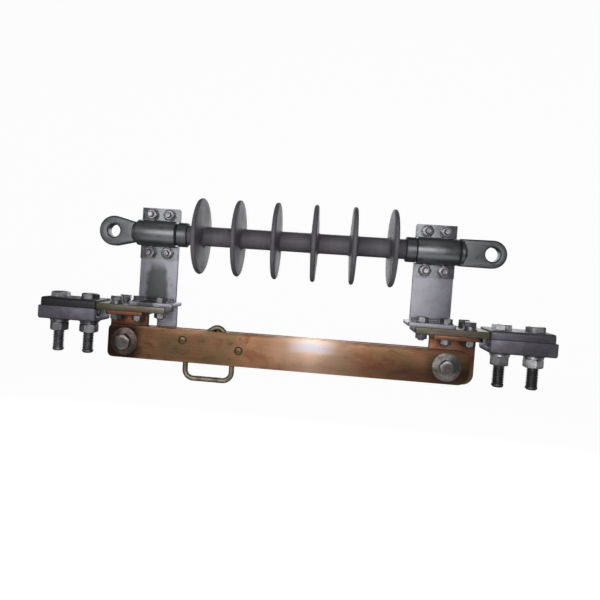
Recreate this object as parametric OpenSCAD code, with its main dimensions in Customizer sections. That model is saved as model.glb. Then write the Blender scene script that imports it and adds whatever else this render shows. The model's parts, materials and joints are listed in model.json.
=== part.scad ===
// In-line disconnect switch for an overhead conductor, millimetres.
// Origin: centre of the left pulling eye, on the insulator's axis.
// +X runs along the insulator towards the hinge end, +Z is up, +Y points away from the hex heads
// of the blade bolts. A twin copper blade hangs below the insulator: it hinges on the right and
// closes up into the jaw contact on the left.

/* [Insulator] */
// Distance from the left eye to the first shed
first_shed_x = 112.6; // [108:0.2:120]
// Distance from one shed to the next
shed_pitch = 48; // [40:1:52]
// Number of sheds
shed_count = 6; // [3:1:6]
// Outer diameter of a shed
shed_d = 96; // [70:1:110]
// Diameter of the rubber sheath between sheds
sheath_d = 24; // [20:1:25]
// Thickness of a shed at its rounded rim
shed_rim_t = 6; // [4:0.2:8]
// Thickness of a shed where it leaves the sheath
shed_root_t = 14; // [10:0.5:16]

/* [End fittings] */
// Distance between the eye centres
eye_span = 471.4; // [460:0.2:480]
// Diameter of the crimped steel barrel
barrel_d = 26.6; // [25:0.2:28]
// Diameter of the collar at the barrel's mouth
collar_d = 31; // [29:0.5:34]
// Length of the collar
collar_len = 13; // [8:1:16]
// Thickness of both flat eyes
eye_t = 16; // [12:1:18]
// Outer diameter of the left eye
left_eye_d = 38; // [34:1:40]
// Pin hole in the left eye
left_hole_d = 16; // [14:1:18]
// Outer diameter of the right tongue eye
right_eye_d = 34; // [32:1:38]
// Pin hole in the right tongue eye
right_hole_d = 17.5; // [14:0.5:19]

/* [Hangers] */
// Middle of the left hanger plate
left_hanger_x = 55.5; // [54:0.5:57]
// Middle of the right hanger plate
right_hanger_x = 406.5; // [405:0.5:408]
// Width of a hanger plate and of its strap
hanger_w = 50; // [46:1:52]
// Thickness of the hanger plate
hanger_t = 5; // [4:0.5:6]
// Height of the hanger plate above the insulator's axis
hanger_top_z = 33; // [32:1:38]
// Length by which the hanger's foot runs on towards the insulator's middle
foot_lip = 7; // [4:1:9]
// Thickness of the saddle strap over the barrel
strap_t = 3; // [2.5:0.5:4]
// Height of the strap bolts above and below the insulator's axis
strap_bolt_z = 24.5; // [24:0.5:26]
// Spacing of the strap bolts along the barrel
strap_bolt_dx = 23; // [20:1:26]

/* [Terminal bars] */
// Height of the terminal bars' top faces
bar_top_z = -92; // [-94:1:-90]
// Thickness of the terminal bars
bar_t = 8; // [6:1:10]
// Width of the terminal bars and of the contacts' flanges
bar_w = 50; // [46:1:52]
// Spacing of the contact bolts along the bar
contact_bolt_dx = 28.5; // [28:0.5:32]
// Distance of the contact bolts from the bar's middle line
contact_bolt_y = 16; // [15:0.5:17]

/* [Contacts and blade] */
// Thickness of the fixed contacts' flanges
flange_t = 5; // [4:0.5:6]
// Thickness of the fixed contacts' tongues
tongue_t = 8; // [6:1:8]
// Jaw contact: nearest and farthest edges
jaw_x = [2, 50];
// Hinge contact: nearest and farthest edges
hinge_x = [405, 460];
// Height of the blade's middle line
blade_z = -140; // [-141:0.5:-137]
// Height of a blade bar
blade_h = 42; // [36:1:42]
// Thickness of a blade bar
blade_t = 4; // [3:0.5:4]
// Gap between a blade bar and the tongue that it slides on
blade_gap = 0.3; // [0.2:0.05:0.5]
// Jaw bolt's place along the blade
jaw_bolt_x = 23; // [22:0.1:27]
// Hinge pin's place along the blade
hinge_pin_x = 426.4; // [425:0.1:428]
// Free end of the blade
blade_tip_x = 1; // [0:1:4]
// Distance from the hinge pin to the blade's rear end
blade_tail = 27.6; // [26:0.1:28]
// Radius of the corners at the blade's rear end
blade_tail_r = 14; // [10:1:20]
// Diameter of the spring washers on the blade's bolts
cup_d = 35; // [32:1:36]

/* [Pull ring] */
// Diameter of the ring's wire
wire_d = 6.6; // [5:0.2:8]
// Middle of the ring along the blade
ring_x = 132; // [126:1:138]
// Width of the ring between its wire's middle lines
ring_w = 60; // [52:1:66]
// Lowest point of the ring's wire
ring_bottom_z = -185; // [-190:0.5:-178]
// Highest point of the ring's wire
ring_top_z = -111.5; // [-114:0.5:-110]
// Bend radius of the ring's head, which shows over the blade
ring_head_r = 9; // [8:1:12]
// Distance of the ring's head from the ring's middle, toward the hinge
ring_head_dx = 9; // [6:1:11]

/* [Conductor clamps] */
// Left clamp: outer and inner ends
left_clamp_x = [-86, -11];
// Right clamp: inner and outer ends
right_clamp_x = [471.6, 549];
// Width of a clamp
clamp_w = 50; // [46:1:52]
// Spacing of the two clamp bolts
clamp_bolt_dx = 40; // [36:1:44]
// Diameter of the clamp bolts
clamp_bolt_d = 14; // [12:2:14]
// Lowest point of the clamp bolts
clamp_bolt_end_z = -160; // [-166:1:-150]
// Diameter of the conductor grooves
groove_d = 10; // [8:1:10]
// Distance of the grooves from the clamp's middle line
groove_y = 14.5; // [14:0.5:15]
// Height of the clamp's lower body
keeper_h = 17; // [13:1:18]

/* [Hidden] */
$fn = 48;
cut = 1;                                  // overlap of every cutting shape
fit = 0.05;                               // play of a nut on its bolt and a spacer on its rivet
sheath_r = sheath_d / 2;
shed_r = shed_d / 2;
barrel_r = barrel_d / 2;
collar_r = collar_d / 2;
left_collar_x = 83;                       // start of the left collar
right_collar_x = 368;                     // start of the right collar
right_shoulder_x = 435;                   // where the right barrel steps down to its tongue
socket_depth = 8;                         // depth to which a collar takes the sheath
collar_slope = 0.4;                       // length of the step from the barrel up to the collar
neck_x = 24;                              // end of the left eye's neck
plate_front_y = barrel_r;                 // the barrel lies against the plate's front
plate_back_y = plate_front_y + hanger_t;
foot_top_z = bar_top_z + hanger_t;
foot_front_y = -bar_w / 2;
bar_bottom_z = bar_top_z - bar_t;
flange_bottom_z = bar_bottom_z - flange_t;
tongue_y = tongue_t / 2;
blade_in_y = tongue_y + blade_gap;
blade_out_y = blade_in_y + blade_t;
cup_t = 3;                                // height of a pressed spring washer
guide_x = [57, 83];                       // the blade guide's width, below the left hanger
guide_bottom_z = -150;
guide_gap = 0.4;                          // the bar's clearance round the guide
small_bolt = [8, 13, 5.3, 6.5];           // M8: diameter, across flats, head height, nut height
blade_bolt = [12, 18, 7.5, 10];           // M12, the same four
clamp_bolt = [clamp_bolt_d, 21, 6.5, 11]; // M14 with a low head, the same four
washer_t = 2;
bar_washers_t = 4.5;                      // washer and spring washer under a head that bears on a bar
hole_play = 1;                            // a bolt hole is this much wider than its bolt
left_bar_x = [left_clamp_x[0] + 5, left_hanger_x + hanger_w / 2 - 2];
right_bar_x = [right_hanger_x - hanger_w / 2 + 2, right_clamp_x[1] - 5];
bar_tail_w = 39;                          // the bar's width inside the clamp
shell_top_t = 2.5;                        // web of the clamp's upper shell
shell_lip_t = 5;                          // lips of the clamp's upper shell
shell_inset = 3.5;                        // by this the shell is shorter than the keeper, outer end
spacer_d = 10;
// Spacers bear on the ring's shoulder on the left and on its leg on the right
spacer_x = [ring_x - ring_w / 2 - 3.9, ring_x + ring_w / 2 + (wire_d + spacer_d) / 2 + 0.1];
spacer_z = [-133, -141];
rivet_d = 6;

// Bolt places along X, inner one first, for both contacts
left_bolts_x = [for (i = [-1 : 1]) left_hanger_x + contact_bolt_dx / 2 - (i + 1) * contact_bolt_dx];
right_bolts_x = [for (i = [-1 : 1]) right_hanger_x - contact_bolt_dx / 2 + (i + 1) * contact_bolt_dx];

// Colours
rubber_c = [0.35, 0.34, 0.36];
galv_c = [0.52, 0.54, 0.54];
plate_c = [0.62, 0.61, 0.66];
dark_c = [0.33, 0.33, 0.36];
bolt_c = [0.36, 0.36, 0.37];
bar_c = [0.47, 0.45, 0.40];
copper_c = [0.50, 0.33, 0.23];
brass_c = [0.48, 0.44, 0.33];

// ---- helpers ----

// Revolves a list of [x, radius] points about the X axis
module turned_x(points) {
    rotate([0, 90, 0]) rotate_extrude($fn = 96) polygon([for (p = points) [p[1], p[0]]]);
}

// A cylinder along Y from y0 to y1
module rod_y(x, z, y0, y1, d) {
    translate([x, y1, z]) rotate([90, 0, 0]) cylinder(d = d, h = y1 - y0);
}

// A six-sided prism along Z from z0 to z1, af across its flats
module hex_z(x, y, z0, z1, af) {
    translate([x, y, z0]) cylinder(d = af / cos(30), h = z1 - z0, $fn = 6);
}

// A six-sided prism along Y from y0 to y1
module hex_y(x, z, y0, y1, af) {
    translate([x, y1, z]) rotate([90, 0, 0]) cylinder(d = af / cos(30), h = y1 - y0, $fn = 6);
}

// A box from one corner to the opposite one
module block(low, high) {
    translate(low) cube(high - low);
}

// An upright bolt: head on z_top, shank down to z_end
module bolt_down(x, y, z_top, z_end, size) {
    hex_z(x, y, z_top, z_top + size[2], size[1]);
    translate([x, y, z_end]) cylinder(d = size[0], h = z_top - z_end + cut);
}

// A nut whose top face lies at z_top
module nut_down(x, y, z_top, size) {
    difference() {
        hex_z(x, y, z_top - size[3], z_top, size[1]);
        translate([x, y, z_top - size[3] - cut]) cylinder(d = size[0] + 2 * fit, h = size[3] + 2 * cut);
    }
}

// Upright bolt hole
module hole_z(x, y, z0, z1, d) {
    translate([x, y, z0 - cut]) cylinder(d = d + hole_play, h = z1 - z0 + 2 * cut);
}

// ---- insulator ----

// Half profile of one shed: a flank with a soft root, a rounded rim, and the same way back
function shed_side(x, s) = [
    [x + s * shed_root_t / 2, sheath_r],
    [x + s * (shed_rim_t / 2 + 2.1), sheath_r + 5],
    [x + s * (shed_rim_t / 2 + 1.2), sheath_r + 14],
    [x + s * shed_rim_t / 2, shed_r - shed_rim_t / 2]
];
function shed_rim(x) = [for (a = [150 : -30 : 30])
    [x + cos(a) * shed_rim_t / 2, shed_r - shed_rim_t / 2 + sin(a) * shed_rim_t / 2]];
function shed(x) = let (far = shed_side(x, 1))
    concat(shed_side(x, -1), shed_rim(x), [for (i = [len(far) - 1 : -1 : 0]) far[i]]);

module insulator_housing() {
    x0 = left_collar_x + collar_len - socket_depth;
    x1 = right_collar_x + socket_depth;
    color(rubber_c) turned_x(concat(
        [[x0, 0], [x0, sheath_r]],
        [for (i = [0 : shed_count - 1]) each shed(first_shed_x + i * shed_pitch)],
        [[x1, sheath_r], [x1, 0]]));
}

// Barrel with its collar, from x0 to the collar's mouth at x1, bored for the sheath
module barrel(x0, x1) {
    s = x1 > x0 ? 1 : -1;
    c = x1 - s * collar_len;
    difference() {
        turned_x([[x0, 0], [x0, barrel_r], [c - s * collar_slope, barrel_r], [c, collar_r],
                  [x1 - s * 1.5, collar_r], [x1, collar_r - 1.5], [x1, 0]]);
        turned_x([[x1 - s * socket_depth, 0], [x1 - s * socket_depth, sheath_r + fit],
                  [x1 + s * cut, sheath_r + fit], [x1 + s * cut, 0]]);
    }
}

module end_fitting_left() {
    r = left_eye_d / 2;
    a = acos((r - barrel_r) / neck_x);    // tangent point of the neck on the eye
    color(galv_c) {
        difference() {
            translate([0, eye_t / 2, 0]) rotate([90, 0, 0]) linear_extrude(eye_t) {
                circle(r = r, $fn = 96);
                polygon([[r * cos(a), -r * sin(a)], [neck_x + 4, -barrel_r], [neck_x + 4, barrel_r],
                         [r * cos(a), r * sin(a)]]);
            }
            rod_y(0, 0, -eye_t, eye_t, left_hole_d);
        }
        barrel(neck_x, left_collar_x + collar_len);
    }
}

module end_fitting_right() {
    r = right_eye_d / 2;
    step = 5.6;                           // length of the slope from the barrel to the tongue
    color(galv_c) {
        difference() {
            translate([0, eye_t / 2, 0]) rotate([90, 0, 0]) linear_extrude(eye_t) {
                translate([eye_span, 0]) circle(r = r, $fn = 96);
                translate([right_shoulder_x - 3, -r]) square([eye_span - right_shoulder_x + 3, 2 * r]);
            }
            rod_y(eye_span, 0, -eye_t, eye_t, right_hole_d);
        }
        barrel(right_shoulder_x, right_collar_x);
        turned_x([[right_shoulder_x - 3, 0], [right_shoulder_x - 3, barrel_r], [right_shoulder_x, r - 1],
                  [right_shoulder_x + step / 2, r - 1], [right_shoulder_x + step, r - 6],
                  [right_shoulder_x + step, 0]]);
    }
}

// ---- hangers and straps ----

// Four bolt places of a strap: both sides of the middle, above and below the barrel
function strap_points(x) = [for (i = [-1, 1], k = [-1, 1]) [x + i * strap_bolt_dx / 2, k * strap_bolt_z]];

// Hanger plate and foot; lip is the foot's extra length, to +X or -X
module hanger(x, bolts_x, lip) {
    x0 = x - hanger_w / 2;
    x1 = x + hanger_w / 2;
    color(plate_c) difference() {
        union() {
            block([x0, plate_front_y, bar_top_z], [x1, plate_back_y, hanger_top_z]);
            block([x0 + min(lip, 0), foot_front_y, bar_top_z],
                  [x1 + max(lip, 0), plate_back_y, foot_top_z]);
        }
        for (p = strap_points(x))
            rod_y(p[0], p[1], plate_front_y - cut, plate_back_y + cut, small_bolt[0] + hole_play);
        for (i = [0, 1])
            hole_z(bolts_x[i], -contact_bolt_y, bar_top_z, foot_top_z, small_bolt[0]);
    }
}

module hanger_left() hanger(left_hanger_x, left_bolts_x, foot_lip);
module hanger_right() hanger(right_hanger_x, right_bolts_x, -foot_lip);

// Plate that runs on down behind the blade from the left hanger
module blade_guide() {
    color(plate_c) block([guide_x[0], plate_front_y, guide_bottom_z], [guide_x[1], plate_back_y, bar_top_z]);
}

// Saddle strap: half round in front of the barrel, with an ear above and one below
module strap(x) {
    out_r = barrel_r + strap_t;
    color(galv_c) difference() {
        translate([x - hanger_w / 2, 0, 0]) rotate([90, 0, 90]) linear_extrude(hanger_w) difference() {
            union() {
                intersection() {
                    circle(r = out_r, $fn = 96);
                    translate([-out_r, -out_r]) square([out_r, 2 * out_r]);
                }
                translate([0, -out_r]) square([plate_front_y, 2 * out_r]);
                translate([plate_front_y - strap_t, -hanger_top_z]) square([strap_t, 2 * hanger_top_z]);
            }
            circle(r = barrel_r, $fn = 96);
            translate([0, -barrel_r]) square([plate_front_y + cut, 2 * barrel_r]);
        }
        for (p = strap_points(x))
            rod_y(p[0], p[1], 0, plate_front_y + cut, small_bolt[0] + hole_play);
    }
}

module strap_left() strap(left_hanger_x);
module strap_right() strap(right_hanger_x);

// Strap bolts come from behind the plate; their threads stand out of the nuts in front
module strap_bolts(x) {
    nut_front = plate_front_y - strap_t - small_bolt[3];
    color(bolt_c) for (p = strap_points(x)) {
        hex_y(p[0], p[1], plate_back_y, plate_back_y + small_bolt[2], small_bolt[1]);
        rod_y(p[0], p[1], nut_front - 4, plate_back_y + cut, small_bolt[0]);
    }
}

module strap_nuts(x) {
    back = plate_front_y - strap_t;
    color(bolt_c) for (p = strap_points(x)) difference() {
        hex_y(p[0], p[1], back - small_bolt[3], back, small_bolt[1]);
        rod_y(p[0], p[1], back - small_bolt[3] - cut, back + cut, small_bolt[0] + 2 * fit);
    }
}

module strap_bolts_left() strap_bolts(left_hanger_x);
module strap_bolts_right() strap_bolts(right_hanger_x);
module strap_nuts_left() strap_nuts(left_hanger_x);
module strap_nuts_right() strap_nuts(right_hanger_x);

// ---- terminal bars and fixed contacts ----

// Contact bolts: [x, y, face under the head, top of the nut, washers under the head]
function contact_points(xs) = [
    [xs[0], -contact_bolt_y, foot_top_z, bar_bottom_z, 0],
    [xs[1], -contact_bolt_y, foot_top_z, flange_bottom_z, 0],
    [xs[2], -contact_bolt_y, bar_top_z, flange_bottom_z, bar_washers_t],
    [xs[2], contact_bolt_y, bar_top_z, flange_bottom_z, bar_washers_t]
];

function clamp_bolts_x(span) = [for (i = [-1, 1]) (span[0] + span[1]) / 2 + i * clamp_bolt_dx / 2];

// Terminal bar from x0 to x1, narrowed inside the clamp that spans clamp
module terminal_bar(x0, x1, clamp, bolts_x) {
    difference() {
        block([x0, -bar_w / 2, bar_bottom_z], [x1, bar_w / 2, bar_top_z]);
        for (s = [-1, 1]) {
            y0 = s > 0 ? bar_tail_w / 2 : -bar_w / 2 - cut;
            y1 = s > 0 ? bar_w / 2 + cut : -bar_tail_w / 2;
            block([clamp[0] - cut, y0, bar_bottom_z - cut], [clamp[1] + cut, y1, bar_top_z + cut]);
        }
        for (p = contact_points(bolts_x)) hole_z(p[0], p[1], bar_bottom_z, bar_top_z, small_bolt[0]);
        for (x = clamp_bolts_x(clamp)) hole_z(x, 0, bar_bottom_z, bar_top_z, clamp_bolt[0]);
    }
}

module terminal_bar_left() {
    color(bar_c) difference() {
        terminal_bar(left_bar_x[0], left_bar_x[1], left_clamp_x, left_bolts_x);
        // notch for the blade guide
        block([guide_x[0] - guide_gap, plate_front_y - guide_gap, bar_bottom_z - cut],
              [left_bar_x[1] + cut, bar_w / 2 + cut, bar_top_z + cut]);
    }
}

module terminal_bar_right() {
    color(bar_c) terminal_bar(right_bar_x[0], right_bar_x[1], right_clamp_x, right_bolts_x);
}

// Flange under the bar, shared by both contacts
module contact_flange(span, bolts_x) {
    difference() {
        block([span[0], -bar_w / 2, flange_bottom_z], [span[1], bar_w / 2, bar_bottom_z]);
        for (p = contact_points(bolts_x))
            if (p[3] == flange_bottom_z) hole_z(p[0], p[1], flange_bottom_z, bar_bottom_z, small_bolt[0]);
    }
}

// Jaw: a tongue with a slot, open below, that the blade's bolt rises into
module jaw_contact() {
    slot_d = 14;
    tongue_bottom_z = -156;
    color(copper_c) {
        contact_flange(jaw_x, left_bolts_x);
        difference() {
            block([jaw_x[0], -tongue_y, tongue_bottom_z], [jaw_x[1], tongue_y, flange_bottom_z]);
            rod_y(jaw_bolt_x, blade_z, -tongue_t, tongue_t, slot_d);
            block([jaw_bolt_x - slot_d / 2, -tongue_t, tongue_bottom_z - cut],
                  [jaw_bolt_x + slot_d / 2, tongue_t, blade_z]);
        }
    }
}

// Hinge: a tongue with a round outer corner, bored for the pin
module hinge_contact() {
    corner_r = 13;
    bottom_z = blade_z - blade_h / 2 + 0.5;
    color(copper_c) {
        contact_flange(hinge_x, right_bolts_x);
        difference() {
            union() {
                block([hinge_x[0], -tongue_y, bottom_z], [hinge_x[1] - corner_r, tongue_y, flange_bottom_z]);
                block([hinge_x[0], -tongue_y, bottom_z + corner_r], [hinge_x[1], tongue_y, flange_bottom_z]);
                rod_y(hinge_x[1] - corner_r, bottom_z + corner_r, -tongue_y, tongue_y, 2 * corner_r);
            }
            rod_y(hinge_pin_x, blade_z, -tongue_t, tongue_t, blade_bolt[0] + 2 * fit);
        }
    }
}

module contact_bolts(xs) {
    color(bolt_c) for (p = contact_points(xs)) {
        bolt_down(p[0], p[1], p[2] + p[4], p[3] - small_bolt[3] - 2, small_bolt);
        if (p[4] > 0) translate([p[0], p[1], p[2]]) cylinder(d = 2 * small_bolt[0], h = p[4]);
    }
}

module contact_nuts(xs) {
    color(bolt_c) for (p = contact_points(xs)) nut_down(p[0], p[1], p[3], small_bolt);
}

module contact_bolts_left() contact_bolts(left_bolts_x);
module contact_bolts_right() contact_bolts(right_bolts_x);
module contact_nuts_left() contact_nuts(left_bolts_x);
module contact_nuts_right() contact_nuts(right_bolts_x);

// ---- conductor clamps ----

// Upper shell: a shallow channel that sits over the bar's narrow end; it spans x0 to x1
module clamp_shell(x0, x1, span) {
    color(dark_c) difference() {
        block([x0, -clamp_w / 2, bar_bottom_z], [x1, clamp_w / 2, bar_top_z + shell_top_t]);
        block([x0 - cut, -clamp_w / 2 + shell_lip_t, bar_bottom_z - cut],
              [x1 + cut, clamp_w / 2 - shell_lip_t, bar_top_z]);
        for (x = clamp_bolts_x(span)) hole_z(x, 0, bar_top_z, bar_top_z + shell_top_t, clamp_bolt[0]);
    }
}

// Keeper: lower body with two conductor grooves against the bar's underside
module clamp_keeper(span) {
    low = bar_bottom_z - keeper_h;
    color(dark_c) difference() {
        block([span[0], -clamp_w / 2, low], [span[1], clamp_w / 2, bar_bottom_z]);
        for (s = [-1, 1]) {
            translate([span[0] - cut, s * groove_y, bar_bottom_z - groove_d / 2]) rotate([0, 90, 0])
                cylinder(d = groove_d, h = span[1] - span[0] + 2 * cut);
            block([span[0] - cut, s * groove_y - groove_d / 2, bar_bottom_z - groove_d / 2],
                  [span[1] + cut, s * groove_y + groove_d / 2, bar_bottom_z + cut]);
        }
        for (x = clamp_bolts_x(span)) hole_z(x, 0, low, bar_bottom_z, clamp_bolt[0]);
    }
}

module clamp_bolts(span) {
    color(bolt_c) for (x = clamp_bolts_x(span))
        bolt_down(x, 0, bar_top_z + shell_top_t, clamp_bolt_end_z, clamp_bolt);
}

module clamp_washers(span) {
    top = bar_bottom_z - keeper_h;
    color(bolt_c) for (x = clamp_bolts_x(span)) difference() {
        translate([x, 0, top - washer_t]) cylinder(d = 27, h = washer_t);
        hole_z(x, 0, top - washer_t, top, clamp_bolt[0]);
    }
}

module clamp_nuts(span) {
    color(bolt_c) for (x = clamp_bolts_x(span))
        nut_down(x, 0, bar_bottom_z - keeper_h - washer_t, clamp_bolt);
}

module clamp_shell_left() clamp_shell(left_clamp_x[0] + shell_inset, left_clamp_x[1], left_clamp_x);
module clamp_shell_right() clamp_shell(right_clamp_x[0], right_clamp_x[1] - shell_inset, right_clamp_x);
module clamp_keeper_left() clamp_keeper(left_clamp_x);
module clamp_keeper_right() clamp_keeper(right_clamp_x);
module clamp_bolts_left() clamp_bolts(left_clamp_x);
module clamp_bolts_right() clamp_bolts(right_clamp_x);
module clamp_washers_left() clamp_washers(left_clamp_x);
module clamp_washers_right() clamp_washers(right_clamp_x);
module clamp_nuts_left() clamp_nuts(left_clamp_x);
module clamp_nuts_right() clamp_nuts(right_clamp_x);

// ---- blade ----

// One blade bar between y0 and y1, with round corners behind the hinge and clipped ones at its tip
module blade_bar(y0, y1) {
    low = blade_z - blade_h / 2;
    high = blade_z + blade_h / 2;
    end_x = hinge_pin_x + blade_tail;
    clip = 7;
    color(copper_c) difference() {
        union() {
            translate([0, y1, 0]) rotate([90, 0, 0]) linear_extrude(y1 - y0)
                polygon([[blade_tip_x, low + clip], [blade_tip_x + clip, low], [end_x - blade_tail_r, low],
                         [end_x - blade_tail_r, high], [blade_tip_x + clip, high], [blade_tip_x, high - clip]]);
            block([hinge_pin_x, y0, low + blade_tail_r], [end_x, y1, high - blade_tail_r]);
            for (z = [low + blade_tail_r, high - blade_tail_r])
                rod_y(end_x - blade_tail_r, z, y0, y1, 2 * blade_tail_r);
        }
        for (x = [jaw_bolt_x, hinge_pin_x])
            rod_y(x, blade_z, y0 - cut, y1 + cut, blade_bolt[0] + 2 * fit);
        for (i = [0, 1])
            rod_y(spacer_x[i], spacer_z[i], y0 - cut, y1 + cut, rivet_d + 2 * fit);
    }
}

module blade_front() blade_bar(-blade_out_y, -blade_in_y);
module blade_rear() blade_bar(blade_in_y, blade_out_y);

// Bolt across the blade: head in front, thread standing out of the nut behind
module cross_bolt(x) {
    front = -blade_out_y - cup_t;
    color(bolt_c) {
        hex_y(x, blade_z, front - blade_bolt[2], front, blade_bolt[1]);
        rod_y(x, blade_z, front - cut, -front + blade_bolt[3] + 3, blade_bolt[0]);
    }
}

// Pair of dished spring washers, one outside each blade bar
module spring_washers(x) {
    color(galv_c) for (s = [0, 1]) mirror([0, s, 0]) difference() {
        translate([x, -blade_out_y, blade_z]) rotate([90, 0, 0])
            rotate_extrude($fn = 96)
                polygon([[blade_bolt[0] / 2 + fit, 0], [cup_d / 2, 0], [cup_d / 2, 1.2],
                         [cup_d / 2 - 5, cup_t], [blade_bolt[0] / 2 + fit, cup_t]]);
    }
}

module cross_nut(x) {
    y0 = blade_out_y + cup_t;
    color(bolt_c) difference() {
        hex_y(x, blade_z, y0, y0 + blade_bolt[3], blade_bolt[1]);
        rod_y(x, blade_z, y0 - cut, y0 + blade_bolt[3] + cut, blade_bolt[0] + 2 * fit);
    }
}

module jaw_bolt() cross_bolt(jaw_bolt_x);
module jaw_spring_washers() spring_washers(jaw_bolt_x);
module jaw_nut() cross_nut(jaw_bolt_x);
module hinge_bolt() cross_bolt(hinge_pin_x);
module hinge_spring_washers() spring_washers(hinge_pin_x);
module hinge_nut() cross_nut(hinge_pin_x);

// Tubes that hold the blade bars apart beside the pull ring
module blade_spacers() {
    color(brass_c) for (i = [0, 1]) difference() {
        rod_y(spacer_x[i], spacer_z[i], -blade_in_y, blade_in_y, spacer_d);
        rod_y(spacer_x[i], spacer_z[i], -blade_in_y - cut, blade_in_y + cut, rivet_d + 2 * fit);
    }
}

module blade_rivets() {
    head_d = 11;
    head_t = 2;
    color(copper_c) for (i = [0, 1]) {
        rod_y(spacer_x[i], spacer_z[i], -blade_out_y - head_t, blade_out_y + head_t, rivet_d);
        for (s = [0, 1]) mirror([0, s, 0])
            rod_y(spacer_x[i], spacer_z[i], blade_out_y, blade_out_y + head_t, head_d);
    }
}

// ---- pull ring ----

// Straight length of the ring's wire between two points of its plane, let into the bends at its ends
module wire_run(a, b) {
    d = b - a;
    let_in = 0.5;
    p = a - d / norm(d) * let_in;
    translate([p[0], 0, p[1]]) rotate([0, atan2(d[0], d[1]), 0])
        cylinder(d = wire_d, h = norm(d) + 2 * let_in);
}

// Bend of the ring's wire about c, from angle a0 over sweep degrees; bending swells it slightly
module wire_bend(c, r, a0, sweep) {
    swell = 0.2;
    translate([c[0], 0, c[1]]) rotate([90, 0, 0]) rotate([0, 0, a0])
        rotate_extrude(angle = sweep) translate([r, 0]) circle(d = wire_d + swell, $fn = 32);
}

// Half of the ring above its foot: leg at leg_x, its bend, and the run that climbs to the head at
// slope degrees; side is -1 for the left half and 1 for the right one
module ring_half(side, leg_x, leg_low_z, head, slope) {
    turn_r = 12;                          // bend at the top of the leg
    top = head + ring_head_r * [side * sin(slope), cos(slope)];
    knee_x = leg_x - side * turn_r * (1 - sin(slope));
    knee_z = top[1] - side * (knee_x - top[0]) * tan(slope);
    leg_z = knee_z - turn_r * cos(slope);
    wire_run([leg_x, leg_low_z], [leg_x, leg_z]);
    wire_bend([leg_x - side * turn_r, leg_z], turn_r, side < 0 ? 90 + slope : 0, 90 - slope);
    wire_run([knee_x, knee_z], top);
}

// Closed loop: a wide foot to pull on, and a small round head that shows over the blade
module pull_ring() {
    slopes = [35, 45];
    foot_r = 11;
    left = ring_x - ring_w / 2;
    right = ring_x + ring_w / 2;
    foot_z = ring_bottom_z + wire_d / 2;
    head = [ring_x + ring_head_dx, ring_top_z - wire_d / 2 - ring_head_r];
    color(brass_c) {
        wire_run([left + foot_r, foot_z], [right - foot_r, foot_z]);
        wire_bend([left + foot_r, foot_z + foot_r], foot_r, 180, 90);
        wire_bend([right - foot_r, foot_z + foot_r], foot_r, 270, 90);
        ring_half(-1, left, foot_z + foot_r, head, slopes[0]);
        ring_half(1, right, foot_z + foot_r, head, slopes[1]);
        wire_bend(head, ring_head_r, 90 - slopes[1], slopes[0] + slopes[1]);
    }
}

insulator_housing();
end_fitting_left();
end_fitting_right();
hanger_left();
hanger_right();
blade_guide();
strap_left();
strap_right();
strap_bolts_left();
strap_bolts_right();
strap_nuts_left();
strap_nuts_right();
terminal_bar_left();
terminal_bar_right();
jaw_contact();
hinge_contact();
contact_bolts_left();
contact_bolts_right();
contact_nuts_left();
contact_nuts_right();
clamp_shell_left();
clamp_shell_right();
clamp_keeper_left();
clamp_keeper_right();
clamp_bolts_left();
clamp_bolts_right();
clamp_washers_left();
clamp_washers_right();
clamp_nuts_left();
clamp_nuts_right();
blade_front();
blade_rear();
jaw_bolt();
jaw_spring_washers();
jaw_nut();
hinge_bolt();
hinge_spring_washers();
hinge_nut();
blade_spacers();
blade_rivets();
pull_ring();
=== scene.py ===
"""Finished pieces for an in-line disconnect switch, built round its packed frame.

Every length is in metres. The frame's origin is the centre of the left pulling eye, +X runs along the
insulator to the hinge end, +Z is up and +Y points to the hanger plates.
"""

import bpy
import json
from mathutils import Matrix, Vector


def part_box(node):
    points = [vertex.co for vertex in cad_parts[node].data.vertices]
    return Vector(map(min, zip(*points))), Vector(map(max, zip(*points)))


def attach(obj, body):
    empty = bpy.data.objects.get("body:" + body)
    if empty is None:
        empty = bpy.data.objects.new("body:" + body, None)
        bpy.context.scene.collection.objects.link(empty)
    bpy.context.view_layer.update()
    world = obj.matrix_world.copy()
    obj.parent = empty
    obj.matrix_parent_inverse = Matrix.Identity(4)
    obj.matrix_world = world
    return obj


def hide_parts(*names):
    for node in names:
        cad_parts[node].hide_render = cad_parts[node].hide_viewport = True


bl_info = {
    "name": "In-line disconnect switch",
    "version": (1, 0, 0),
    "blender": (4, 5, 0),
    "location": "View3D > Sidebar > Switch",
    "description": "Builds the insulator, blade, contacts, clamps and hardware of a line disconnect switch",
    "category": "Object",
}

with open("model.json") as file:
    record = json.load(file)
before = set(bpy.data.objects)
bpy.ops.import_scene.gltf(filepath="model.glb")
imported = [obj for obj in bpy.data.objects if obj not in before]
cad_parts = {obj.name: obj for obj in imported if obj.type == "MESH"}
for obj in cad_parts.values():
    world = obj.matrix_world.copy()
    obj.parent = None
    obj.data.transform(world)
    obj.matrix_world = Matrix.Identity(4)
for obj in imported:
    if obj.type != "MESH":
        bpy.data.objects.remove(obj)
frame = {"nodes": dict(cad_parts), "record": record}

import json
import math

import bmesh
import bpy
import numpy as np
from mathutils import Matrix, Vector
from mathutils.geometry import tessellate_polygon

MM = 0.001
X_AXIS = Matrix(((0, 0, 1, 0), (0, 1, 0, 0), (-1, 0, 0, 0), (0, 0, 0, 1)))    # local Z becomes +X
BACK = Matrix(((1, 0, 0, 0), (0, 0, 1, 0), (0, -1, 0, 0), (0, 0, 0, 1)))      # local Z becomes +Y
FRONT = Matrix(((1, 0, 0, 0), (0, 0, -1, 0), (0, 1, 0, 0), (0, 0, 0, 1)))     # local Z becomes -Y
UP = Matrix.Identity(4)


# ---------------------------------------------------------------- settings

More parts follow.
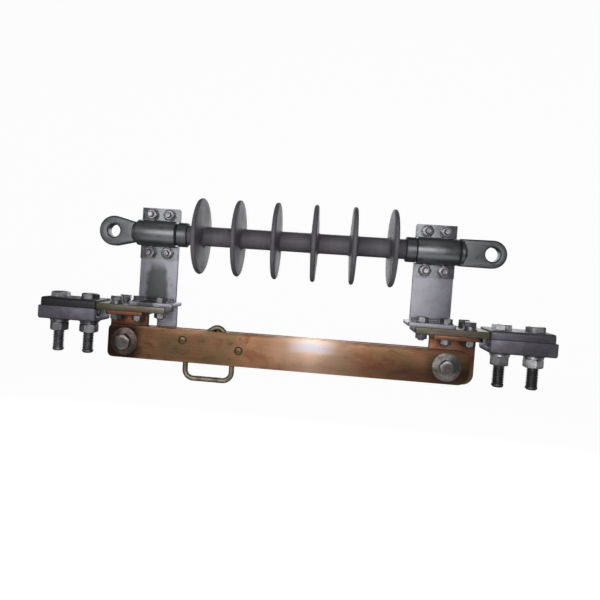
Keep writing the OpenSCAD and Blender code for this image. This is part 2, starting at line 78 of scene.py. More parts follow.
def length(name, description, default, low=0.0, high=1.0):
    return bpy.props.FloatProperty(name=name, description=description, default=default, min=low, max=high,
                                   subtype="DISTANCE", unit="LENGTH", precision=5)


def colour(name, description, default):
    return bpy.props.FloatVectorProperty(name=name, description=description, default=default, size=3,
                                         min=0.0, max=1.0, subtype="COLOR")


class SwitchSizes(bpy.types.PropertyGroup):
    """Small sizes that the frame leaves open"""
    shed_rim: length("Shed rim", "Thickness of a shed at its rounded rim", 5.8 * MM, 2 * MM, 8 * MM)
    shed_root: length("Shed root", "Thickness of a shed where it meets the sheath", 14 * MM, 6 * MM, 16 * MM)
    sheath: length("Sheath", "Diameter of the rubber sheath", 24 * MM, 20 * MM, 28 * MM)
    mould_line: length("Mould line", "Height of the seam left by the mould", 0.35 * MM, 0, 1 * MM)
    sheet_edge: length("Sheet edge", "Rounding of galvanised plate edges", 0.8 * MM, 0.1 * MM, 2 * MM)
    copper_edge: length("Copper edge", "Rounding of copper edges", 0.6 * MM, 0.1 * MM, 1.5 * MM)
    cast_edge: length("Cast edge", "Rounding of cast edges", 1.6 * MM, 0.5 * MM, 3 * MM)
    forged_edge: length("Forged edge", "Rounding of the forged eyes", 2.6 * MM, 0.5 * MM, 4 * MM)
    weld: length("Weld", "Leg of a weld bead", 3.2 * MM, 1 * MM, 5 * MM)


class SwitchColours(bpy.types.PropertyGroup):
    """Base colours of the finishes"""
    rubber: colour("Rubber", "Insulator housing", (0.130, 0.122, 0.142))
    forging: colour("Forging", "Galvanised end fittings and straps", (0.205, 0.215, 0.228))
    plate: colour("Plate", "Galvanised hanger plates", (0.345, 0.345, 0.400))
    bolt: colour("Bolt", "Weathered hardware", (0.22, 0.215, 0.235))
    casting: colour("Casting", "Conductor clamps", (0.135, 0.130, 0.155))
    bar: colour("Bar", "Tinned terminal bars", (0.190, 0.165, 0.130))
    copper: colour("Copper", "Tarnished copper", (0.300, 0.158, 0.086))
    # copper rubbed bright; on the blade this colour also stands as a painted highlight
    copper_rubbed_highlight: colour("Rubbed copper", "Copper where it is rubbed bright", (0.74, 0.52, 0.40))
    copper_dark: colour("Dark copper", "Stains and heat marks on the copper", (0.060, 0.028, 0.018))
    brass: colour("Brass", "Pull ring and spacers", (0.30, 0.265, 0.19))


class SwitchStudio(bpy.types.PropertyGroup):
    """Camera and light"""
    aim: bpy.props.FloatVectorProperty(name="Aim", description="Point that the camera turns about",
                                       default=(0.2162, 0.0, -0.0486), size=3, subtype="TRANSLATION",
                                       unit="LENGTH")
    distance: length("Distance", "From the camera to the aim", 0.692, 0.3, 5.0)
    turn: bpy.props.FloatProperty(name="Turn", description="Camera's turn about the vertical",
                                  default=math.radians(4.96), subtype="ANGLE", unit="ROTATION")
    tilt: bpy.props.FloatProperty(name="Tilt", description="Camera's height angle over the aim",
                                  default=math.radians(1.66), subtype="ANGLE", unit="ROTATION")
    roll: bpy.props.FloatProperty(name="Roll", description="Camera's roll about its own axis",
                                  default=math.radians(3.87), subtype="ANGLE", unit="ROTATION")
    lens: bpy.props.FloatProperty(name="Lens", description="Focal length for a 36 mm sensor", default=33.0,
                                  min=10, max=200, subtype="DISTANCE_CAMERA", unit="CAMERA")
    shift: bpy.props.FloatVectorProperty(name="Shift", description="Camera's shift, in frame widths",
                                         default=(0.0333, -0.0333), size=2)
    backdrop: colour("Backdrop", "Pale floor and backdrop", (0.40, 0.40, 0.40))


def sizes():
    return bpy.context.scene.switch_sizes


def colours():
    return bpy.context.scene.switch_colours


# ---------------------------------------------------------------- shapes: (points, faces)

def joined(*shapes):
    """Several shapes as one."""
    points, faces = [], []
    for more_points, more_faces in shapes:
        start = len(points)
        points += list(more_points)
        faces += [tuple(i + start for i in face) for face in more_faces]
    return points, faces


def placed(shape, spot, turn=UP):
    """A shape turned by a matrix, then moved to spot."""
    matrix = Matrix.Translation(Vector(spot)) @ turn
    return [matrix @ Vector(p) for p in shape[0]], shape[1]


def revolve(rings, segments, closed=False):
    """Skins rings about local Z. A ring is a height, for a point on the axis, or (radius, height) pairs."""
    points, numbered = [], []
    for ring in rings:
        if isinstance(ring, float):
            numbered.append([len(points)] * segments)
            points.append((0.0, 0.0, ring))
            continue
        numbered.append(range(len(points), len(points) + segments))
        for i, (radius, height) in enumerate(ring):
            angle = 2 * math.pi * i / segments
            points.append((radius * math.cos(angle), radius * math.sin(angle), height))
    faces = []
    pairs = list(zip(numbered, numbered[1:])) + ([(numbered[-1], numbered[0])] if closed else [])
    for low, high in pairs:
        for i in range(segments):
            j = (i + 1) % segments
            face = dict.fromkeys((low[i], low[j], high[j], high[i]))
            if len(face) > 2:
                faces.append(tuple(face))
    return points, faces


def turned(profile, segments=64, closed=False, seam=0.0):
    """Lathe work from (height, radius) points; seam is the height of a mould line on two sides."""
    rings = []
    for height, radius in profile:
        if radius < 1e-7:
            rings.append(float(height))
            continue
        swell = [seam * math.exp(-(math.sin(2 * math.pi * i / segments) / 0.03) ** 2)
                 for i in range(segments)]
        rings.append([(radius + s, height) for s in swell])
    return revolve(rings, segments, closed)


def hex_ring(across, height, drop=None, segments=48):
    """Six-sided ring with eased corners. With drop, heights fall by the chamfer's cone from that radius."""
    corner = across / 2 / math.cos(math.pi / 6)
    ring = []
    for i in range(segments):
        angle = (2 * math.pi * i / segments) % (math.pi / 3) - math.pi / 6
        radius = min(across / 2 / math.cos(angle), 0.985 * corner)
        fall = 0.0 if drop is None else (radius - drop[0]) * drop[1]
        ring.append((radius, height - fall))
    return ring


def plain_ring(radius, height, segments=48):
    return [(radius, height)] * segments


def thread(diameter, pitch, start, end):
    """(height, radius) points of a thread that runs down from start to end, with a chamfered tip."""
    crest, root = diameter / 2, diameter / 2 - 0.6 * pitch
    points = [(start, crest)]
    height = start
    while height - pitch > end + pitch:
        points += [(height - 0.06 * pitch, crest), (height - 0.44 * pitch, root),
                   (height - 0.56 * pitch, root), (height - 0.94 * pitch, crest)]
        height -= pitch
    return points + [(end + 0.8 * pitch, crest), (end, crest - 0.8 * pitch), (end, 0.0)]


def bolt(size, reach, threaded):
    """A hexagon bolt: head above z = 0, shank down to -reach, the last part threaded."""
    across, head = size["across"], size["head"]
    flat = 0.47 * across
    cone = (flat, math.tan(math.radians(30)))
    rings = [float(head), plain_ring(flat * 0.6, head), plain_ring(flat, head), hex_ring(across, head, cone),
             hex_ring(across, 0.0), plain_ring(size["d"] / 2, 0.0)]
    for height, radius in thread(size["d"], size["pitch"], -(reach - threaded), -reach):
        rings.append(float(height) if radius < 1e-7 else plain_ring(radius, height))
    return revolve(rings, 48)


def nut(size):
    """A hexagon nut, chamfered on both sides, hanging from z = 0 down."""
    across, tall, hole = size["across"], size["nut"], size["d"] / 2 + 0.05 * MM
    flat = 0.47 * across
    slope = math.tan(math.radians(30))
    rings = [plain_ring(hole, 0.0), plain_ring(flat, 0.0), hex_ring(across, 0.0, (flat, slope)),
             hex_ring(across, -tall, (flat, -slope)), plain_ring(flat, -tall), plain_ring(hole, -tall)]
    return revolve(rings, 48, closed=True)


def washer(size, outer, thick):
    """A flat washer from z = 0 down, with eased edges."""
    ease, hole = 0.25 * MM, size["d"] / 2 + 0.3 * MM
    return turned([(0, hole), (0, outer - ease), (-ease, outer), (ease - thick, outer),
                   (-thick, outer - ease), (-thick, hole)], 48, closed=True)


def spring_ring(size, thick):
    """A split spring washer from z = 0 down: its ends stand a little apart."""
    outer, hole = 0.80 * size["d"] + 0.5 * MM, size["d"] / 2 + 0.25 * MM
    steps, gap = 44, math.radians(9)
    points, faces = [], []
    for i in range(steps + 1):
        angle = gap / 2 + (2 * math.pi - gap) * i / steps
        drop = -0.35 * thick * i / steps
        for radius, height in ((hole, 0), (outer, 0), (outer, -thick), (hole, -thick)):
            points.append((radius * math.cos(angle), radius * math.sin(angle), height + drop))
    for i in range(steps):
        for k in range(4):
            m = (k + 1) % 4
            faces.append((4 * i + k, 4 * i + m, 4 * i + 4 + m, 4 * i + 4 + k))
    faces += [(3, 2, 1, 0), tuple(4 * steps + k for k in range(4))]
    return points, faces


def inset(loop, distance):
    """The loop moved to its left by distance, with mitred corners."""
    moved = []
    for i, point in enumerate(loop):
        before, after = Vector(point) - Vector(loop[i - 1]), Vector(loop[(i + 1) % len(loop)]) - Vector(point)
        one, two = Vector((-before.y, before.x)).normalized(), Vector((-after.y, after.x)).normalized()
        moved.append(Vector(point) + (one + two) / max(1 + one.dot(two), 0.2) * distance)
    return moved


def plate(outline, thick, edge, holes=(), steps=3):
    """Flat stock from z = 0 up. outline runs anticlockwise and the holes clockwise; edges are rounded."""
    levels = []
    for k in range(steps + 1):
        angle = math.pi / 2 * k / steps
        levels.append((edge * (1 - math.sin(angle)), edge * (1 - math.cos(angle))))
    levels += [(d, thick - z) for d, z in reversed(levels)]
    points, faces, caps = [], [], ([], [])
    for loop in (outline, *holes):
        rows = []
        for distance, height in levels:
            rows.append(range(len(points), len(points) + len(loop)))
            points += [(p.x, p.y, height) for p in inset(loop, distance)]
        for low, high in zip(rows, rows[1:]):
            for i in range(len(loop)):
                j = (i + 1) % len(loop)
                faces.append((low[i], low[j], high[j], high[i]))
        caps[0].append(list(rows[0]))
        caps[1].append(list(rows[-1]))
    for loops, flip in ((caps[0], True), (caps[1], False)):
        flat = [i for loop in loops for i in loop]
        for tri in tessellate_polygon([[Vector(points[i]) for i in loop] for loop in loops]):
            face = tuple(flat[i] for i in tri)
            faces.append(face[::-1] if flip else face)
    return points, faces


def arc(centre, radius, start, sweep, steps=12):
    """Points on an arc; angles in degrees."""
    return [(centre[0] + radius * math.cos(math.radians(start + sweep * i / steps)),
             centre[1] + radius * math.sin(math.radians(start + sweep * i / steps)))
            for i in range(steps + 1)]


def rounded(low, high, radius, steps=6):
    """Anticlockwise rectangle with round corners. radius is one number, or four from low-left on."""
    r = [radius] * 4 if isinstance(radius, (int, float)) else radius
    (x0, y0), (x1, y1) = low, high
    return (arc((x0 + r[0], y0 + r[0]), r[0], 180, 90, steps)
            + arc((x1 - r[1], y0 + r[1]), r[1], 270, 90, steps)
            + arc((x1 - r[2], y1 - r[2]), r[2], 0, 90, steps)
            + arc((x0 + r[3], y1 - r[3]), r[3], 90, 90, steps))


def circle(centre, radius, steps=48):
    """Clockwise circle, for a hole."""
    return arc(centre, radius, 0, -360, steps)[:-1]


def trace(start, heading, moves):
    """Points and headings along straight runs, given as a length, and bends, given as (radius, degrees)."""
    x, y, h = start[0], start[1], math.radians(heading)
    route = [(x, y, h)]
    for move in moves:
        if not isinstance(move, tuple):
            x, y = x + move * math.cos(h), y + move * math.sin(h)
            route.append((x, y, h))
            continue
        radius, sweep = move[0], math.radians(move[1])
        side = 1 if sweep > 0 else -1
        cx, cy = x - side * radius * math.sin(h), y + side * radius * math.cos(h)
        steps = max(4, round(abs(move[1]) / 6))
        for i in range(1, steps + 1):
            t = h + sweep * i / steps
            route.append((cx + side * radius * math.sin(t), cy - side * radius * math.cos(t), t))
        x, y, h = route[-1]
    return route


def strip(route, thick):
    """Outline of sheet of that thickness along a route."""
    left = [(x - thick / 2 * math.sin(h), y + thick / 2 * math.cos(h)) for x, y, h in route]
    right = [(x + thick / 2 * math.sin(h), y - thick / 2 * math.cos(h)) for x, y, h in route]
    return right + left[::-1]


def tube(route, radius, segments=20):
    """Closed wire along a route in the XZ plane."""
    points, faces, rows = [], [], []
    for x, z, h in route:
        rows.append(range(len(points), len(points) + segments))
        for i in range(segments):
            angle = 2 * math.pi * i / segments
            side = radius * math.cos(angle)
            points.append((x - side * math.sin(h), radius * math.sin(angle), z + side * math.cos(h)))
    for low, high in zip(rows, rows[1:] + rows[:1]):
        for i in range(segments):
            j = (i + 1) % segments
            faces.append((low[i], low[j], high[j], high[i]))
    return points, faces


def bead(start, end, leg, ripple=1.7 * MM):
    """A weld bead with ripples, lying along the line from start to end."""
    start, end = Vector(start), Vector(end)
    along = (end - start).normalized()
    across, up = along.orthogonal().normalized(), None
    up = along.cross(across)
    steps = int((end - start).length / ripple * 4)
    rings, points, faces, around = [], [], [], 14
    for i in range(steps + 1):
        radius = leg * (0.78 + 0.10 * abs(math.sin(math.pi * i / 4)) + 0.05 * math.sin(i * 0.9))
        if i in (0, steps):
            radius *= 0.55
        centre = start.lerp(end, i / steps)
        rings.append(range(len(points), len(points) + around))
        for k in range(around):
            angle = 2 * math.pi * k / around
            points.append(centre + (across * math.cos(angle) + up * math.sin(angle)) * radius)
    for low, high in zip(rings, rings[1:]):
        for k in range(around):
            m = (k + 1) % around
            faces.append((low[k], low[m], high[m], high[k]))
    faces += [tuple(rings[0])[::-1], tuple(rings[-1])]
    return points, faces


# ---------------------------------------------------------------- the frame's own sizes

def solids(node):
    """(lowest, highest) corners of each separate solid of a CAD node, from left to right, then upwards."""
    mesh = frame["nodes"][node].data
    keys, index = {}, []
    for vertex in mesh.vertices:
        index.append(keys.setdefault(tuple(round(c, 6) for c in vertex.co), len(keys)))
    parent = list(range(len(keys)))

    def find(i):
        while parent[i] != i:
            parent[i] = parent[parent[i]]
            i = parent[i]
        return i

    for polygon in mesh.polygons:
        first = find(index[polygon.vertices[0]])
        for v in polygon.vertices[1:]:
            parent[find(index[v])] = first
    groups = {}
    for point, i in keys.items():
        groups.setdefault(find(i), []).append(point)
    boxes = []
    for group in groups.values():
        co = np.array(group)
        boxes.append((Vector(co.min(0)), Vector(co.max(0))))
    return sorted(boxes, key=lambda b: (round(b[0].x, 3), round(b[0].z, 3), round(b[0].y, 3)))


def middle(box):
    return (box[0] + box[1]) / 2


def hardware(diameter, across, head, tall, pitch):
    """A bolt's diameter, width across flats, head and nut heights and thread pitch, given in mm."""
    return {"d": diameter * MM, "across": across * MM, "head": head * MM, "nut": tall * MM,
            "pitch": pitch * MM}


M8 = hardware(8, 13, 5.3, 6.5, 1.25)
M12 = hardware(12, 18, 7.5, 10, 1.75)
M14 = hardware(14, 21, 6.5, 11, 2.0)


# ---------------------------------------------------------------- materials

class Finish:
    """One node material, built up from short calls."""

    def __init__(self, name, metallic, roughness):
        self.material = bpy.data.materials.new(name)
        self.material.use_nodes = True
        self.tree = self.material.node_tree
        self.shader = self.tree.nodes["Principled BSDF"]
        self.shader.inputs["Metallic"].default_value = metallic
        self.shader.inputs["Roughness"].default_value = roughness
        self.place = self.tree.nodes.new("ShaderNodeTexCoord").outputs["Object"]
        self.normal = None

    def feed(self, socket, value):
        if isinstance(value, bpy.types.NodeSocket):
            self.tree.links.new(value, socket)
        else:
            socket.default_value = value

    def node(self, kind, inputs, **settings):
        made = self.tree.nodes.new(kind)
        for key, value in settings.items():
            setattr(made, key, value)
        for key, value in inputs.items():
            self.feed(made.inputs[key], value)
        return made

    def stretched(self, scale):
        """The object's own coordinates, scaled along each axis."""
        return self.node("ShaderNodeMapping", {"Vector": self.place, "Scale": scale}).outputs["Vector"]

    def noise(self, scale, detail=4.0, rough=0.55, stretch=(1, 1, 1), twist=0.0):
        made = self.node("ShaderNodeTexNoise", {"Vector": self.stretched(stretch), "Scale": scale,
                                                "Detail": detail, "Roughness": rough, "Distortion": twist})
        return made.outputs["Fac"]

    def cells(self, scale, feature="F1", output="Distance"):
        made = self.node("ShaderNodeTexVoronoi", {"Vector": self.place, "Scale": scale}, feature=feature)
        return made.outputs[output]

    def grey(self, colour_output):
        return self.node("ShaderNodeRGBToBW", {"Color": colour_output}).outputs["Val"]

    def fit(self, value, low, high, to_low=0.0, to_high=1.0):
        """A value spread from low..high to to_low..to_high, held at the ends."""
        made = self.node("ShaderNodeMapRange", {"Value": value, "From Min": low, "From Max": high,
                                                "To Min": to_low, "To Max": to_high}, clamp=True)
        return made.outputs["Result"]

    def sum(self, kind, a, b):
        made = self.node("ShaderNodeMath", {0: a, 1: b}, operation=kind)
        return made.outputs["Value"]

    def mix(self, share, a, b, how="MIX"):
        made = self.tree.nodes.new("ShaderNodeMix")
        made.data_type, made.blend_type = "RGBA", how
        self.feed(made.inputs[0], share)
        for socket, value in ((made.inputs[6], a), (made.inputs[7], b)):
            self.feed(socket, value if isinstance(value, bpy.types.NodeSocket) else (*value[:3], 1.0))
        return made.outputs[2]

    def axis(self, name):
        split = self.node("ShaderNodeSeparateXYZ", {"Vector": self.place})
        return split.outputs[name]

    def bump(self, height, strength, distance):
        inputs = {"Height": height, "Strength": strength, "Distance": distance}
        if self.normal is not None:
            inputs["Normal"] = self.normal
        self.normal = self.node("ShaderNodeBump", inputs).outputs["Normal"]

    def done(self, base, roughness=None):
        self.feed(self.shader.inputs["Base Color"], base)
        if roughness is not None:
            self.feed(self.shader.inputs["Roughness"], roughness)
        if self.normal is not None:
            self.feed(self.shader.inputs["Normal"], self.normal)
        return self.material


def tone(rgb, factor):
    return tuple(min(1.0, c * factor) for c in rgb)


def rubber_finish():
    """Moulded polymer with a dusty bloom, rain streaks and a fine matt skin."""
    base = tuple(colours().rubber)
    f = Finish("moulded_polymer", 0.0, 0.55)
    f.shader.inputs["Specular IOR Level"].default_value = 0.42
    broad = f.noise(38, 5, 0.6)
    fine = f.noise(420, 3, 0.6)
    streak = f.noise(26, 4, 0.6, stretch=(6, 1, 0.6))
    shade = f.mix(f.fit(broad, 0.35, 0.70), tone(base, 0.80), tone(base, 1.22))
    dust = f.mix(f.fit(streak, 0.55, 0.78, 0.0, 0.55), shade, (0.225, 0.212, 0.218))
    speck = f.mix(f.fit(fine, 0.62, 0.75, 0.0, 0.35), dust, tone(base, 0.62))
    f.bump(f.noise(1500, 2, 0.5), 0.10, 0.0004)
    f.bump(f.noise(160, 3, 0.5), 0.12, 0.0009)
    return f.done(speck, f.fit(broad, 0.3, 0.75, 0.46, 0.66))


def zinc_finish(name, base, metallic, smooth, spangle, shade_patch=None):
    """Hot-dip zinc: faint crystal patches, drips, dull oxide and dirt that darkens some of the skin.

    dull_from is ((x0, x1), z): a field between x0 and x1, below z, that has weathered dark.
    """
    f = Finish(name, metallic, smooth)
    crystal = f.cells(spangle, "F1", "Color")
    patch = f.grey(crystal)
    cloud = f.noise(45, 5, 0.62, twist=0.4)
    grime = f.noise(120, 4, 0.7)
    shade = f.mix(f.fit(patch, 0.1, 0.9), tone(base, 0.90), tone(base, 1.10))
    oxide = f.mix(f.fit(cloud, 0.42, 0.72, 0.0, 0.5), shade, tone(base, 1.25))
    dirt_and_shade = f.mix(f.fit(grime, 0.56, 0.74, 0.0, 0.55), oxide, tone(base, 0.52))
    # painted shade: the area between x0 and x1 below z is darkened as a shadow on the plate
    if shade_patch is not None:
        (x0, x1), z = shade_patch
        wander = f.fit(f.noise(30, 3, 0.5), 0.3, 0.7, -0.005, 0.005)
        x = f.sum("ADD", f.axis("X"), wander)
        inside = f.sum("MULTIPLY", f.fit(x, x0, x0 + 0.005), f.fit(x, x1, x1 - 0.005))
        below = f.fit(f.sum("ADD", f.axis("Z"), wander), z + 0.009, z - 0.009)
        shade_field = f.sum("MULTIPLY", f.sum("MULTIPLY", inside, below), 0.85)
        dirt_and_shade = f.mix(shade_field, dirt_and_shade, (0.048, 0.051, 0.047))
    f.bump(f.noise(700, 3, 0.6), 0.10, 0.0005)
    f.bump(cloud, 0.22, 0.0012)
    rough = f.sum("ADD", f.fit(patch, 0, 1, smooth - 0.06, smooth + 0.06),
                  f.fit(cloud, 0.4, 0.7, -0.03, 0.10))
    return f.done(dirt_and_shade, rough)


def forging_finish():
    return zinc_finish("galvanised_forging", tuple(colours().forging), 0.85, 0.36, 170)


def eye_finish():
    return zinc_finish("dull_forging", tone(colours().forging, 0.72), 0.85, 0.42, 170)


def plate_finish():
    return zinc_finish("galvanised_plate", tuple(colours().plate), 0.62, 0.40, 120)


# the left hanger plate, with a patch of painted shade below the barrel
def shaded_plate_finish():
    return zinc_finish("plate_with_painted_shade", tone(colours().plate, 0.90), 0.62, 0.40, 120,
                       ((0.0385, 0.0685), -0.040))


def bolt_finish(name="weathered_hardware", base=None, rust_share=0.5, dark_below=None):
    """Weathered zinc-plated steel: dark in the recesses, grey where handled, a few rust specks.

    dark_below is a height below which the metal has gone dark.
    """
    base = base or tuple(colours().bolt)
    f = Finish(name, 0.85, 0.34)
    cloud = f.noise(110, 5, 0.65)
    speck = f.noise(520, 3, 0.6)
    shade = f.mix(f.fit(cloud, 0.35, 0.68), tone(base, 0.55), tone(base, 1.7))
    rust = f.mix(f.fit(speck, 0.60, 0.72, 0.0, rust_share), shade, (0.10, 0.045, 0.025))
    if dark_below is not None:
        lower_dark_share = f.fit(f.axis("Z"), dark_below, dark_below - 0.008, 0.0, 0.85)
        rust = f.mix(lower_dark_share, rust, (0.075, 0.072, 0.078))
    f.bump(f.noise(900, 3, 0.6), 0.14, 0.0004)
    return f.done(rust, f.fit(cloud, 0.3, 0.7, 0.46, 0.24))


def dark_jaw_finish():
    """Steel at the jaw, browned and blackened by arcs."""
    return bolt_finish("dark_jaw_hardware", (0.085, 0.060, 0.054), 0.8)


def pivot_finish():
    return bolt_finish("pivot_hardware", (0.165, 0.155, 0.150), 0.7)


def casting_finish(name="dark_casting", shade_by=1.0):
    """Sand-cast clamp metal with a grainy dark skin, lighter on the high spots."""
    base = tone(colours().casting, shade_by)
    f = Finish(name, 0.6, 0.44)
    cloud = f.noise(60, 5, 0.6)
    grain = f.noise(850, 3, 0.65)
    shade = f.mix(f.fit(cloud, 0.35, 0.7), tone(base, 0.72), tone(base, 1.5))
    worn = f.mix(f.fit(grain, 0.55, 0.75, 0.0, 0.4), shade, tone(base, 1.9))
    f.bump(grain, 0.35, 0.0006)
    f.bump(cloud, 0.20, 0.0012)
    return f.done(worn, f.fit(cloud, 0.3, 0.7, 0.55, 0.36))


def shell_finish():
    return casting_finish("dark_shell", 0.28)


# the right clamp's shell: the casting at 0.85 of its tone, lighter than the left shell
def lighter_shell_finish():
    return casting_finish("lighter_shell", 0.85)


# right clamp's bolts and nuts: a brighter zinc whose bright base partly stands as painted highlight, darker
# below z = -0.128
def bright_hardware_finish():
    return bolt_finish("bright_hardware", (0.52, 0.52, 0.54), 0.25, -0.128)


def bar_finish():
    """Dull tinned copper: grey tin with olive and brown showing through along the bar."""
    base = tuple(colours().bar)
    f = Finish("tinned_bar", 0.7, 0.45)
    cloud = f.noise(34, 5, 0.6, stretch=(0.6, 1.6, 1.6))
    grain = f.noise(260, 4, 0.6, stretch=(0.15, 1, 1))
    shade = f.mix(f.fit(cloud, 0.4, 0.66), tone(base, 0.85), (0.27, 0.27, 0.26))
    olive = f.mix(f.fit(grain, 0.5, 0.72, 0.0, 0.7), shade, (0.12, 0.085, 0.035))
    off_centre = f.sum("ABSOLUTE", f.sum("SUBTRACT", f.axis("X"), 0.2357), 0.0)
    ends = f.sum("MULTIPLY", f.fit(off_centre, 0.205, 0.235), f.fit(cloud, 0.3, 0.6, 0.5, 0.9))
    olive = f.mix(ends, olive, (0.090, 0.085, 0.036))
    f.bump(grain, 0.12, 0.0004)
    return f.done(olive, f.fit(cloud, 0.3, 0.7, 0.52, 0.36))


RUBBED_HIGHLIGHT_X = 0.262                                # middle of the blade's rubbed stretch and its painted highlight


def copper_finish(name, blade=False, base=None, scorched=False):
    """Tarnished copper: brown skin, reddish heat marks, olive film, dark stains, drawn lines along X.

    On the blade the middle is rubbed bright, the jaw end is sooty and the hinge end is stained below.
    A scorched contact is dark on the lower part of its tongue.
    """
    c = colours()
    brown, bright, dark = base or tuple(c.copper), tuple(c.copper_rubbed_highlight), tuple(c.copper_dark)
    f = Finish(name, 0.85, 0.4)
    broad = f.noise(17, 5, 0.6, stretch=(0.55, 1, 1.3), twist=0.5)
    patch = f.noise(42, 5, 0.65, stretch=(0.6, 1, 1.1), twist=0.8)
    drawn = f.noise(520, 3, 0.6, stretch=(0.03, 1, 1))
    spots = f.noise(95, 4, 0.65, stretch=(0.6, 1, 1))
    shade = f.mix(f.fit(broad, 0.40, 0.60), tone(brown, 0.70), tone(brown, 1.30))
    red = f.mix(f.fit(patch, 0.50, 0.62, 0.0, 0.70), shade, (0.23, 0.070, 0.040))
    olive = f.mix(f.fit(f.noise(23, 4, 0.6, twist=0.3), 0.48, 0.60, 0.0, 0.75), red, (0.19, 0.140, 0.068))
    lined = f.mix(f.fit(drawn, 0.35, 0.7, 0.0, 0.30), olive, tone(brown, 1.5))
    copper_colour = f.mix(f.fit(spots, 0.55, 0.74, 0.0, 0.75), lined, dark)
    rough = f.fit(patch, 0.35, 0.7, 0.34, 0.50)
    if blade:
        x, z = f.axis("X"), f.axis("Z")
        low = f.fit(z, -0.134, -0.150)
        waver = f.fit(patch, 0.3, 0.7, -0.006, 0.006)
        # darker towards the jaw end, with a wavering border
        jaw_end_dark = f.fit(f.sum("ADD", x, waver), 0.048, 0.034)
        copper_colour = f.mix(f.sum("MULTIPLY", jaw_end_dark, 0.94), copper_colour, tone(dark, 0.55))
        rear = f.fit(f.sum("ADD", x, waver), 0.398, 0.412, 0.0, 0.80)
        copper_colour = f.mix(f.sum("MULTIPLY", rear, f.fit(patch, 0.42, 0.58, 1.0, 0.35)), copper_colour, dark)
        hot = f.fit(f.sum("ADD", x, f.fit(broad, 0.3, 0.7, -0.02, 0.02)), 0.300, 0.370)
        copper_colour = f.mix(f.sum("MULTIPLY", f.sum("MULTIPLY", hot, low), 0.72), copper_colour, tone(dark, 1.3))
        # painted shade: a dark line along the blade's top edge, weaker near the jaw end
        rim = f.sum("MULTIPLY", f.fit(z, -0.1235, -0.1205), f.fit(x, 0.06, 0.16, 0.25, 0.70))
        copper_colour = f.mix(rim, copper_colour, tone(dark, 1.4))
        # the rubbed bright stretch round the middle, which also serves as a painted highlight, weaker on the
        # lower half
        near = f.sum("ABSOLUTE", f.sum("SUBTRACT", x, RUBBED_HIGHLIGHT_X), 0.0)
        rubbed_highlight_band = f.fit(near, 0.004, 0.075, 1.0, 0.0)
        rubbed_highlight_band = f.sum("MULTIPLY", f.sum("MULTIPLY", rubbed_highlight_band, rubbed_highlight_band), f.fit(patch, 0.30, 0.60, 0.75, 1.0))
        copper_colour = f.mix(f.sum("MULTIPLY", rubbed_highlight_band, f.fit(low, 0.0, 1.0, 1.0, 0.55)), copper_colour, bright)
        # painted highlight: a pale core on the upper half of the rubbed stretch
        highlight_core = f.sum("MULTIPLY", f.fit(near, 0.008, 0.032, 0.75, 0.0), f.fit(z, -0.1385, -0.1325))
        copper_colour = f.mix(f.sum("MULTIPLY", highlight_core, f.fit(z, -0.1205, -0.1255)), copper_colour, (0.62, 0.62, 0.72))
        rough = f.sum("SUBTRACT", rough, f.fit(near, 0.0, 0.08, 0.08, 0.0))
    else:
        f.bump(patch, 0.08, 0.0008)
        if scorched:
            burnt = f.fit(f.sum("ADD", f.axis("Z"), f.fit(patch, 0.3, 0.7, -0.006, 0.006)), -0.108, -0.118)
            copper_colour = f.mix(f.sum("MULTIPLY", burnt, 0.85), copper_colour, tone(dark, 0.7))
        f.bump(drawn, 0.05, 0.0002)
    return f.done(copper_colour, rough)


def rivet_finish():
    return copper_finish("dull_rivets", base=(0.115, 0.075, 0.042))


def brass_finish():
    """Dull brass wire with a brown film and drawn lines."""
    base = tuple(colours().brass)
    f = Finish("dull_brass", 0.75, 0.42)
    cloud = f.noise(75, 5, 0.62)
    shade = f.mix(f.fit(cloud, 0.35, 0.68), tone(base, 0.55), tone(base, 1.3))
    film = f.mix(f.fit(f.noise(240, 4, 0.6), 0.55, 0.72, 0.0, 0.6), shade, (0.12, 0.085, 0.05))
    f.bump(f.noise(800, 3, 0.6), 0.10, 0.0004)
    return f.done(film, f.fit(cloud, 0.3, 0.7, 0.5, 0.34))


FINISHES = {
    "insulator_rubber": rubber_finish,
    "galvanised_fitting": forging_finish,
    "galvanised_plate": plate_finish,
    "bolt_steel": bolt_finish,
    "tinned_copper_bar": bar_finish,
    "contact_copper": lambda: copper_finish("contact_copper", base=(0.215, 0.105, 0.066)),
    "clamp_metal": casting_finish,
    # the blade's copper carries a painted highlight and a painted shade along its top edge
    "blade_copper": lambda: copper_finish("blade_copper", blade=True),
    "ring_brass": brass_finish,
}
OWN_FINISHES = {
    # the left hanger's finish carries a patch of painted shade
    "hanger_left": shaded_plate_finish,
    "jaw_contact": lambda: copper_finish("scorched_copper", base=(0.215, 0.105, 0.066), scorched=True),
    "jaw_bolt": pivot_finish,
    "jaw_spring_washers": dark_jaw_finish,
    "hinge_bolt": pivot_finish,
    "hinge_spring_washers": pivot_finish,
    "blade_rivets": rivet_finish,
    "clamp_shell_left": shell_finish,
    "clamp_shell_right": lighter_shell_finish,
    # the right clamp's brighter hardware partly stands as painted highlight
    "clamp_bolts_right": bright_hardware_finish,
    "clamp_nuts_right": bright_hardware_finish,
    "end_fitting_left": eye_finish,
    "end_fitting_right": eye_finish,
}
made_finishes = {}


def finish_for(node):
    """The node's own finish, or its slot's, made once."""
    build = OWN_FINISHES.get(node) or FINISHES[SLOT_OF[node]]
    if build not in made_finishes:
        made_finishes[build] = build()
    return made_finishes[build]


SLOT_OF = {part["node"]: part["material_slot"] for part in frame["record"]["subparts"]}
BODY_OF = {node: body for body, nodes in frame["record"]["behaviour"]["bodies"].items() for node in nodes}


